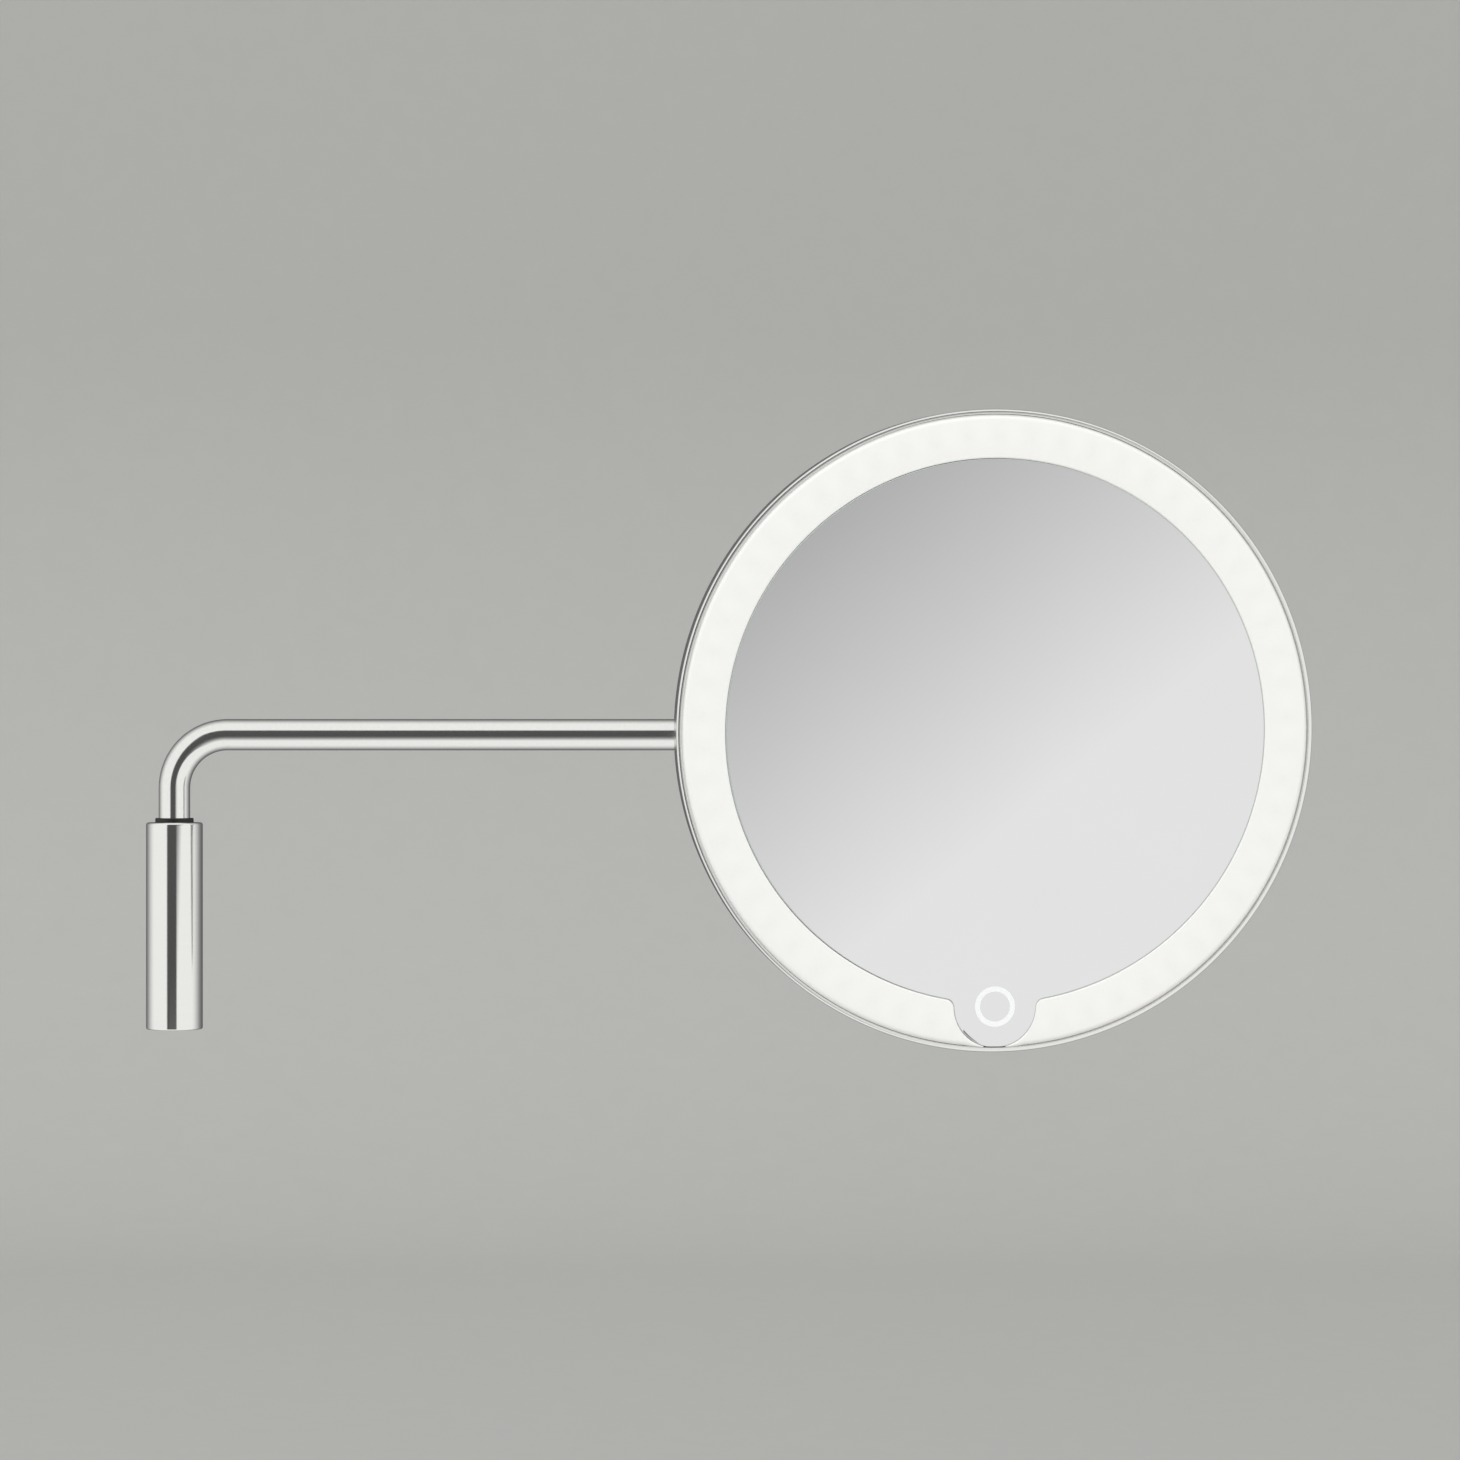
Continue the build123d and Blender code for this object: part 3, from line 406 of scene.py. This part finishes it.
# the route: straight up, a quarter turn, then straight out
turn = np.linspace(0, math.pi / 2, arm["bendSteps"])
bendCentre = np.array([foot[0] + bend, foot[1], level - bend])
rise = np.linspace(foot[2], bendCentre[2], arm["riseSteps"], endpoint=False)
reach = np.linspace(bendCentre[0], end, arm["levelSteps"])[1:]
route = np.concatenate([
    np.stack([0 * rise + foot[0], 0 * rise + foot[1], rise], axis=1),
    bendCentre + bend * np.stack([-np.cos(turn), 0 * turn, np.sin(turn)], axis=1),
    np.stack([reach, 0 * reach + foot[1], 0 * reach + level], axis=1),
])
ahead = np.concatenate([
    np.tile([0.0, 0, 1], (len(rise), 1)),
    np.stack([np.sin(turn), 0 * turn, np.cos(turn)], axis=1),
    np.tile([1.0, 0, 0], (len(reach), 1)),
])
side = np.tile([0.0, 1, 0], (len(route), 1))
outward = np.cross(side, ahead)


def tubeSkin(radius):
    # route + radius * (cos a * outward + sin a * side) at each step of the route
    a = np.linspace(0, 2 * math.pi, arm["around"], endpoint=False)[None, :, None]
    return route[:, None] + radius * mm * (np.cos(a) * outward[:, None] + np.sin(a) * side[:, None])


skins = np.concatenate([tubeSkin(arm["radius"]), tubeSkin(arm["bore"])[::-1]])
faces = gridFaces(len(skins), arm["around"], True, True)
piece = newObject("arm_bent_tube", skins.reshape(-1, 3), faces, 40)
place(piece, tubeSteel, "arm", "satin stainless steel", "arm_tube")

# domed plug in the open end
plug = {"shank": 3.68, "depth": 18, "dome": 2.2}
plugAxes = (np.array([end, foot[1], level]), alongY, alongZ, alongX)
stand = (tipHigh[0] - end) / mm
profile = roundedProfile([
    (0, -plug["depth"]),
    (plug["shank"], -plug["depth"]),
    (plug["shank"], 0),
    (arm["radius"], 0),
    (arm["radius"], stand, plug["dome"]),
    (0, stand),
], closed=False, steps=10)
piece = turned("arm_end_plug", profile, plugAxes, 72, closed=False)
place(piece, tubeSteel, "arm", "satin stainless steel", "tip_plug")

# ball stud: ball, waisted neck and a collar that sits on the tube; the neck's and the collar's
# ends are counted back from the tube's axis
stud = {"ball": 8.0, "neck": 3.0, "neckEnd": 6.4, "neckRound": 0.6}
stud.update({"collar": 4.5, "collarFrom": 6.2, "collarTo": 3.0, "collarRound": 0.3})
studRoot = np.array([ball[0], foot[1], level])
studBack = unit(studRoot - ball)
studAxes = (ball, alongX, np.cross(studBack, alongX), studBack)
studLength = np.linalg.norm(studRoot - ball) / mm
swing = np.linspace(0, math.pi - math.asin(stud["neck"] / stud["ball"]), 40)
sphere = stud["ball"] * np.stack([np.sin(swing), -np.cos(swing)], axis=1)
neck = roundedProfile([
    tuple(sphere[-1]),
    (stud["neck"], studLength - stud["neckEnd"], stud["neckRound"]),
    (stud["collar"], studLength - stud["collarFrom"], stud["collarRound"]),
    (stud["collar"], studLength - stud["collarTo"]),
    (0, studLength - stud["collarTo"]),
], closed=False)
piece = turned("ball_pin", np.concatenate([sphere, neck[1:]]), studAxes, 72, closed=False)
place(piece, polishedSteel, "arm", "polished ball stud", "ball_stud")
print("arm done")

# ---- clamp ring round the ball's socket, with a straight knurl
socketR = 11.3  # the socket's outside, which the ring and the pan close on
ring = {"radius": 14.0, "flutes": 60, "depth": 0.35, "from": -3.1, "to": 3.7, "edge": 0.05}
ring.update({"back": -5.13, "step": -1.0, "front": 4.6})


def knurl(a, radius, height):
    # on the outer face, between the heights from and to, the radius dips by depth * (1 - |cos(flutes * a
    # / 2)|)
    band = (radius > ring["radius"] - ring["edge"]) & (height > ring["from"]) & (height < ring["to"])
    return radius - band * ring["depth"] * (1 - np.abs(np.cos(ring["flutes"] * a / 2)))


# (radius, depth, rounding): back through the mouth, out and along the knurl, in over the socket
profile = roundedProfile([
    (9.6, ring["step"]),
    (9.32, -2.5),
    (8.52, -4.53),
    (8.82, ring["back"], 0.2),
    (12.0, ring["back"], 0.4),
    (ring["radius"], -3.13, 0.2),
    (ring["radius"], -3.0),
    (ring["radius"], 3.6),
    (ring["radius"], 4.2, 0.2),
    (13.6, ring["front"]),
    (socketR, ring["front"]),
    (socketR, ring["step"]),
])
piece = turned("ball_clamp_ring", profile, headAxes, 480, flute=knurl, sharp=25)
place(piece, turnedSteel, "head", "knurled steel ring", "clamp_ring")

# ---- the head's pan
pan = {"radius": 100.0, "rim": 1.5, "sheet": 1.0, "back": 5.0, "front": 23.0, "round": 10.0}
pan.update({"lip": 0.9, "hem": 2.2, "hemRound": 0.2})
back, front, outer = pan["back"], pan["front"], pan["radius"]
profile = roundedProfile([
    (socketR, back),
    (outer, back, pan["round"]),
    (outer, front, pan["lip"]),
    (outer - pan["rim"], front, pan["hemRound"]),
    (outer - pan["rim"], front - pan["hem"]),
    (outer - pan["sheet"], front - pan["hem"]),
    (outer - pan["sheet"], back + pan["sheet"], pan["round"] - pan["sheet"]),
    (socketR, back + pan["sheet"]),
], steps=16)
piece = turned("head_pan", profile, headAxes, 256, sharp=40)


def slab(name, width, height, corner, low, high, centre, steps=8):
    # a plate with round corners: the outline's points follow four quarter turns, corner after corner
    a = np.linspace(0, math.pi / 2, steps)
    quarter = np.stack([np.cos(a), np.sin(a)], axis=1)
    quarters, starts = [], []
    for x, y, angle in ((1, 1, 0), (-1, 1, 90), (-1, -1, 180), (1, -1, 270)):
        c, s = round(math.cos(math.radians(angle))), round(math.sin(math.radians(angle)))
        quarters.append(quarter @ np.array([[c, s], [-s, c]]))
        starts.append(np.tile([x * (width / 2 - corner), y * (height / 2 - corner)], (steps, 1)))
    normals, bases = np.concatenate(quarters), np.concatenate(starts)
    outline = bases + corner * normals
    rows = [np.concatenate([outline, np.full((len(bases), 1), h)], axis=1) for h in (low, high)]
    rows = [rows[0] * [0, 0, 1]] + rows + [rows[-1] * [0, 0, 1]]
    local = np.stack(rows) + [centre[0], centre[1], 0]
    points = inPlace(local, headAxes).reshape(-1, 3)
    return newObject(name, points, gridFaces(len(rows), len(bases), False, True))


# the charging port's recess and slot are cut from the pan
port = {"drop": 58.0, "width": 9.4, "height": 3.7, "slotRound": 3.7 / 2 - 0.01}
port.update({"recess": (18.0, 8.6), "recessRound": 1.5, "sink": 0.5, "behind": 2, "through": 4})
for width, height, corner, low, high in (
    (*port["recess"], port["recessRound"], back - port["behind"], back + port["sink"]),
    (port["width"], port["height"], port["slotRound"], back - port["behind"], back + port["through"]),
):
    cutter = slab("cutter", width, height, corner, low, high, (0, -port["drop"]))
    cut = piece.modifiers.new("port", "BOOLEAN")
    cut.operation, cut.solver, cut.object = "DIFFERENCE", "EXACT", cutter
    shape = bpy.data.meshes.new_from_object(piece.evaluated_get(bpy.context.evaluated_depsgraph_get()))
    piece.modifiers.clear()
    piece.data = shape
    bpy.data.objects.remove(cutter)
piece.data.polygons.foreach_set("use_smooth", np.ones(len(piece.data.polygons), dtype=bool))
piece.data.set_sharp_from_angle(angle=math.radians(32))
place(piece, panSteel, "head", "pressed stainless pan", "housing")


# ---- button-head screws
def buttonScrews(name, circleR, count, start, sizes):
    # rings about each screw's axis; the key's rings have radius
    # flats / cos(angle from the flat's middle)
    a = np.linspace(0, 2 * math.pi, 48, endpoint=False)
    fromFlat = (a + math.pi / 6) % (math.pi / 3) - math.pi / 6
    hexagon, circle = 1 / np.cos(fromFlat), np.ones_like(a)
    dome = np.linspace(0, 1, 7)
    domeR = sizes["head"] - (sizes["head"] - sizes["crown"]) * dome ** sizes["fullness"]
    domeH = sizes["height"] * np.sin(dome * math.pi / 2)
    shank, bottom = circle * sizes["shank"], -sizes["shankLength"]
    key, top, ease = hexagon * sizes["key"], sizes["height"], sizes["keyEase"]
    rings = [(0 * circle, bottom), (shank, bottom), (shank, 0.0)]
    rings += [(circle * r, h) for r, h in zip(domeR, domeH)]
    rings += [(key + ease, top), (key, top - ease)]
    rings += [(key, top * sizes["keyFloor"]), (0 * circle, top * sizes["keyPoint"])]
    local = np.stack([np.stack([r * np.cos(a), r * np.sin(a), 0 * a - h], axis=1) for r, h in rings])
    spots = np.radians(start + 360 * np.arange(count) / count)
    centres = np.stack([circleR * np.cos(spots), circleR * np.sin(spots), 0 * spots + back], axis=1)
    points = inPlace(centres[:, None, None] + local[None], headAxes).reshape(-1, 3)
    one = gridFaces(len(rings), len(a), False, True)
    faces = (one[None] + len(rings) * len(a) * np.arange(count)[:, None, None]).reshape(-1, 4)
    return newObject(name, points, faces)


# keyFloor and keyPoint are shares of the head's height
screw = {"head": 2.85, "crown": 1.6, "height": 1.65, "fullness": 1.6, "shank": 1.5}
screw.update({"shankLength": 6.4, "key": 1.0, "keyEase": 0.12, "keyFloor": 0.35, "keyPoint": 0.25})
piece = buttonScrews("pan_screws", 66.0, 4, 45, screw)
place(piece, brightSteel, "head", "stainless fasteners", "housing_screws")
screw["shankLength"] = 3.3
piece = buttonScrews("socket_ring_screws", 17.4, 3, 90, screw)
place(piece, brightSteel, "head", "stainless fasteners", "socket_screws")
print("pan and screws done")

# ---- mirror, key and diffuser
mirror = {"radius": 84.6, "tab": 12.8, "drop": 85.7, "root": 3.0, "rim": 98.3, "thick": 3.0}
mirror.update({"sink": 0.1, "bevel": 0.2, "bevelBend": 0.3, "gap": 0.15, "margin": 0.01})
mirror.update({"roundShare": 0.94, "outlineShare": 0.06, "backStep": 6})


def outlineRadius(away, gap=0.0):
    # distance from the centre to the outline, for an angle away from straight down: the disc's radius;
    # then the near side of the root's circle, c cos(x) - sqrt(r^2 - c^2 sin(x)^2), x from its centre;
    # then the far side of the tab's circle, d cos(away) + sqrt(t^2 - d^2 sin(away)^2)
    disc, tab = mirror["radius"] + gap, mirror["tab"] + gap
    root, drop = mirror["root"] - gap, mirror["drop"]
    reach = disc + root
    rootAway = math.acos((reach**2 + drop**2 - (tab + root) ** 2) / (2 * reach * drop))
    fromRoot = np.clip(rootAway - away, 0, math.asin(root / reach))
    inRoot = reach * np.cos(fromRoot) - np.sqrt(np.maximum(root**2 - (reach * np.sin(fromRoot)) ** 2, 0))
    inTab = drop * np.cos(away) + np.sqrt(np.maximum(tab**2 - (drop * np.sin(away)) ** 2, 0))
    touch = rootAway - math.asin(root / reach)
    radius = np.where(away >= rootAway, disc, np.where(away > touch, inRoot, inTab))
    return np.minimum(radius, mirror["rim"]), rootAway, touch


def anglesAway():
    # angles from straight down, packed where the tab joins the disc
    rootAway, touch = outlineRadius(np.zeros(1))[1:]
    parts = [np.linspace(0, touch * 0.8, 24), np.linspace(touch * 0.8, touch, 24)[1:]]
    parts += [np.linspace(touch, rootAway, 24)[1:], np.linspace(rootAway, math.pi, 150)[1:]]
    return np.concatenate(parts)


away = anglesAway()
away = np.concatenate([away, -away[-2:0:-1]])
rim = outlineRadius(np.abs(away))[0]
glassFront, glassBack = front - mirror["sink"], front - mirror["sink"] - mirror["thick"]
# the rings inside roundShare of the disc are round, and those outside spread towards the outline
roundShare, outlineShare = mirror["roundShare"], mirror["outlineShare"]
inner = np.concatenate([
    np.linspace(0, 1, 30) * roundShare,
    roundShare + outlineShare * np.linspace(0, 1, 10)[1:],
])
share = np.clip((inner - roundShare) / outlineShare, 0, 1)[:, None]
bevel, bevelBend = mirror["bevel"], mirror["bevelBend"]
radii = inner[:, None] * mirror["radius"] * (1 - share) + share * (rim[None] - bevel)
edgeR = np.stack([rim - bevel * bevelBend, rim, rim, rim - bevel])
backR = radii[:: -mirror["backStep"]].copy()
backR[-1] = 0
edgeH = [glassFront - bevelBend * bevel, glassFront - bevel, glassBack + bevel, glassBack]
atFront, atBack = np.full(len(radii), glassFront), np.full(len(backR), glassBack)
depths = np.concatenate([atFront, edgeH, atBack])[:, None]
radii = np.concatenate([radii, edgeR, backR])
depths = depths + 0 * radii
# (radius sin a, -radius cos a, depth), a from straight down
local = np.stack([radii * np.sin(away), -radii * np.cos(away), depths], axis=-1)
faces = gridFaces(len(radii), len(away), False, True)
piece = newObject("mirror_disc", inPlace(local, headAxes).reshape(-1, 3), faces, 30)
place(piece, silveredGlass, "head", "silvered glass", "mirror_glass")
piece.data.materials.append(groundEdge)
centres = np.empty(len(piece.data.polygons) * 3)
piece.data.polygons.foreach_get("center", centres)
faceDepth = (centres.reshape(-1, 3) - ball) @ facing / mm
margin = mirror["margin"]
atEdge = (faceDepth > glassBack + margin) & (faceDepth < glassFront - margin)
piece.data.polygons.foreach_set("material_index", atEdge.astype(int))

# etched ring over the key, a hair proud of the glass so it shows
key = {"outer": 6.3, "inner": 4.7, "lift": 0.03, "sunk": -0.17}
keyAngles = np.linspace(0, 2 * math.pi, 96, endpoint=False)
keyR = np.array([key["inner"], key["outer"]])
across = np.concatenate([keyR, keyR[::-1]])[:, None]
x, y = across * np.sin(keyAngles), -mirror["drop"] + across * np.cos(keyAngles)
lift = np.array([key["lift"], key["lift"], key["sunk"], key["sunk"]])[:, None]
depth = glassFront + lift + 0 * x
local = np.stack([x, y, depth], axis=-1)
faces = gridFaces(4, len(keyAngles), True, True)
piece = newObject("key_ring", inPlace(local, headAxes).reshape(-1, 3), faces, 30)
place(piece, etchedGlass, "head", "etched glass", "touch_ring")

# diffuser: its section runs round from one side of the tab to the other, and narrows along the tab
diffuser = {"inner": 84.8, "outer": 98.4, "thick": 2.5, "leastWidth": 0.15}
diffuser.update({"outerRound": 1.8, "outerShare": 0.6, "innerRound": 0.5, "innerShare": 0.3})
far = anglesAway()
innerR = np.maximum(outlineRadius(far, mirror["gap"])[0], diffuser["inner"])
keep = innerR < diffuser["outer"] - diffuser["leastWidth"]
far = far[keep]
far = np.concatenate([far, 2 * math.pi - far[-2::-1]])
innerR = np.concatenate([innerR[keep], innerR[keep][-2::-1]])[:, None]
width = diffuser["outer"] - innerR
outerRound = np.minimum(diffuser["outerRound"], width * diffuser["outerShare"])
innerRound = np.minimum(diffuser["innerRound"], width * diffuser["innerShare"])
t = np.linspace(0, math.pi / 2, 9)
low = front - diffuser["thick"]
sectionR = np.concatenate([
    innerR,
    innerR + innerRound * (1 - np.cos(t)),
    diffuser["outer"] - outerRound * (1 - np.sin(t)),
    diffuser["outer"] + 0 * innerR,
], axis=1)
sectionH = np.concatenate([
    low + 0 * innerR,
    front - innerRound * (1 - np.sin(t)),
    front - outerRound * (1 - np.cos(t)),
    low + 0 * innerR,
], axis=1)
local = np.stack([sectionR * np.sin(far[:, None]), -sectionR * np.cos(far[:, None]), sectionH], axis=-1)
ends = local[[0, -1]].mean(axis=1, keepdims=True) + 0 * local[[0, -1]]
local = np.concatenate([ends[:1], local, ends[1:]])
faces = gridFaces(len(local), local.shape[1], False, True)
piece = newObject("light_diffuser", inPlace(local, headAxes).reshape(-1, 3), faces, 40)
place(piece, frosted, "head", "frosted acrylic", "diffuser_ring")
print("head done")

# ---- studio
floor = {"drop": 0.30, "depth": 1.5, "curve": 0.7, "height": 2.6, "halfWidth": 9.0, "near": -9.0}
sweep = np.linspace(0, math.pi / 2, 24)
# a floor that curves up into a backdrop: flat, a quarter turn, then upright
backY = np.concatenate([
    [floor["near"]],
    floor["depth"] + floor["curve"] * np.sin(sweep),
    [floor["depth"] + floor["curve"]],
])
backZ = np.concatenate([[0], floor["curve"] * (1 - np.cos(sweep)), [floor["height"]]]) - floor["drop"]
sides = np.array([-floor["halfWidth"], floor["halfWidth"]])[:, None]
local = np.stack(np.broadcast_arrays(sides, backY[None], backZ[None]), axis=-1)
mesh = bpy.data.meshes.new("studio_floor")
mesh.from_pydata(local.reshape(-1, 3).tolist(), [], gridFaces(2, len(backY)).tolist())
mesh.polygons.foreach_set("use_smooth", np.ones(len(mesh.polygons), dtype=bool))
studioFloor = bpy.data.objects.new("studio_floor", mesh)
bpy.context.scene.collection.objects.link(studioFloor)
studioFloor.visible_glossy = False
paper = mouldedPlastic("studio paper", ("b5b5b3", "b9b9b7"), (0.8, 0.9), 20.0, 0.0)
studioFloor.data.materials.append(paper)

# a round wall far off, for views from the sides and the back; only the camera sees it
wall = {"centre": 0.18, "foot": 6400, "lift": 1, "radius": 7500, "curve": 1000, "height": 7000}
wallAxes = (np.array([wall["centre"], 0, -floor["drop"]]), alongX, alongY, alongZ)
profile = roundedProfile([
    (wall["foot"], wall["lift"]),
    (wall["radius"], wall["lift"], wall["curve"]),
    (wall["radius"], wall["height"]),
], closed=False, steps=24)
studioWall = turned("studio_wall", profile, wallAxes, 96, closed=False)
studioWall.visible_glossy = studioWall.visible_diffuse = False
studioWall.visible_shadow = studioWall.visible_transmission = False
studioWall.data.materials.append(paper)

# the room: bright all round and dimmer behind the wall
world = bpy.data.worlds.new("studio")
world.use_nodes = True
bpy.context.scene.world = world
tree = world.node_tree
room = {"bright": 1.08, "behind": 0.14, "from": -0.2, "to": 1.0}
direction = addNode(tree, "ShaderNodeTexCoord").outputs["Generated"]
split = addNode(tree, "ShaderNodeSeparateXYZ", None, {0: direction})
behind = addNode(
    tree, "ShaderNodeMapRange",
    {
        "interpolation_type": "SMOOTHSTEP", "From Min": room["from"], "From Max": room["to"],
        "To Min": room["bright"], "To Max": room["behind"],
    },
    {"Value": split.outputs[1]},
).outputs[0]
background = next(node for node in tree.nodes if node.type == "BACKGROUND")
tree.links.new(behind, background.inputs["Strength"])
background.inputs["Color"].default_value = linear("fdfdfc")


# a dark card beyond the camera, seen only in reflections, with edges that fade out.
# each edge is (where the fade ends, where the dark begins), in metres
card = {"y": -1.5, "x": (-0.8, 1.5), "z": (-1.7, 1.2), "level": 0.09}
card.update({"left": (-0.70, -0.55), "right": (0.47, 0.38)})
card.update({"low": (-1.6, -0.13), "high": (1.10, 0.85)})
# to the right a paler part fades evenly, as slope . position + offset
paler = {"slope": (-1.25, 0.0, 1.58), "offset": 1.041}
(x0, x1), (z0, z1) = card["x"], card["z"]
cornersOfCard = [(x, card["y"], z) for x, z in ((x0, z0), (x1, z0), (x1, z1), (x0, z1))]
mesh = bpy.data.meshes.new("dark_card")
mesh.from_pydata(cornersOfCard, [], [(0, 1, 2, 3)])
darkCard = bpy.data.objects.new("dark_card", mesh)
bpy.context.scene.collection.objects.link(darkCard)
darkCard.visible_camera = darkCard.visible_diffuse = False
darkCard.visible_shadow = darkCard.visible_transmission = False
cloth, tree = newMaterial("black velvet", {})[:2]
position = addNode(tree, "ShaderNodeTexCoord").outputs["Object"]
split = addNode(tree, "ShaderNodeSeparateXYZ", None, {0: position})


def fade(edge, axis):
    clear, dark = card[edge]
    ends = {"interpolation_type": "SMOOTHSTEP", "From Min": clear, "From Max": dark}
    return addNode(tree, "ShaderNodeMapRange", ends, {"Value": split.outputs[axis]}).outputs[0]


def combine(operation, first, second):
    return addNode(tree, "ShaderNodeMath", {"operation": operation}, {0: first, 1: second}).outputs[0]


downSlope = {"operation": "DOT_PRODUCT", 1: paler["slope"]}
along = addNode(tree, "ShaderNodeVectorMath", downSlope, {0: position})
addOffset = {"operation": "ADD", "use_clamp": True, 1: paler["offset"]}
ramp = addNode(tree, "ShaderNodeMath", addOffset, {0: along.outputs["Value"]})
cover = combine("MAXIMUM", combine("MULTIPLY", fade("right", 0), fade("low", 2)), ramp.outputs[0])
cover = combine("MULTIPLY", cover, combine("MULTIPLY", fade("left", 0), fade("high", 2)))
glow = addNode(tree, "ShaderNodeEmission", {"Color": linear("ffffff"), "Strength": card["level"]})
clearWay = addNode(tree, "ShaderNodeBsdfTransparent")
shaders = {0: cover, 1: clearWay.outputs[0], 2: glow.outputs[0]}
blend = addNode(tree, "ShaderNodeMixShader", None, shaders)
output = next(node for node in tree.nodes if node.type == "OUTPUT_MATERIAL")
tree.links.new(blend.outputs[0], output.inputs["Surface"])
darkCard.data.materials.append(cloth)


def softLight(name, location, size, watts, target):
    light = bpy.data.lights.new(name, "AREA")
    light.size, light.energy = size, watts
    lamp = bpy.data.objects.new(name, light)
    way = unit(np.array(location) - np.array(target))
    across = unit(np.cross(alongZ, way))
    turnTo = Matrix(np.stack([across, np.cross(way, across), way], axis=1).tolist()).to_4x4()
    lamp.matrix_world = Matrix.Translation(location) @ turnTo
    lamp.visible_glossy = False
    bpy.context.scene.collection.objects.link(lamp)


softLight("key_light", location=(-1.2, -1.6, 1.6), size=1.4, watts=14, target=(0.15, 0, 0))

cameraSettings = {"place": (0.1775, -1.405, 0.0625), "lens": 106.5, "sensor": 36.0}
camera = bpy.data.objects.new("camera", bpy.data.cameras.new("camera"))
camera.location = cameraSettings["place"]
camera.rotation_euler = (math.pi / 2, 0, 0)
camera.data.lens, camera.data.sensor_width = cameraSettings["lens"], cameraSettings["sensor"]
bpy.context.scene.collection.objects.link(camera)
bpy.context.scene.camera = camera
bpy.context.scene.view_settings.view_transform = "Standard"
print("studio done")

bpy.context.view_layer.update()
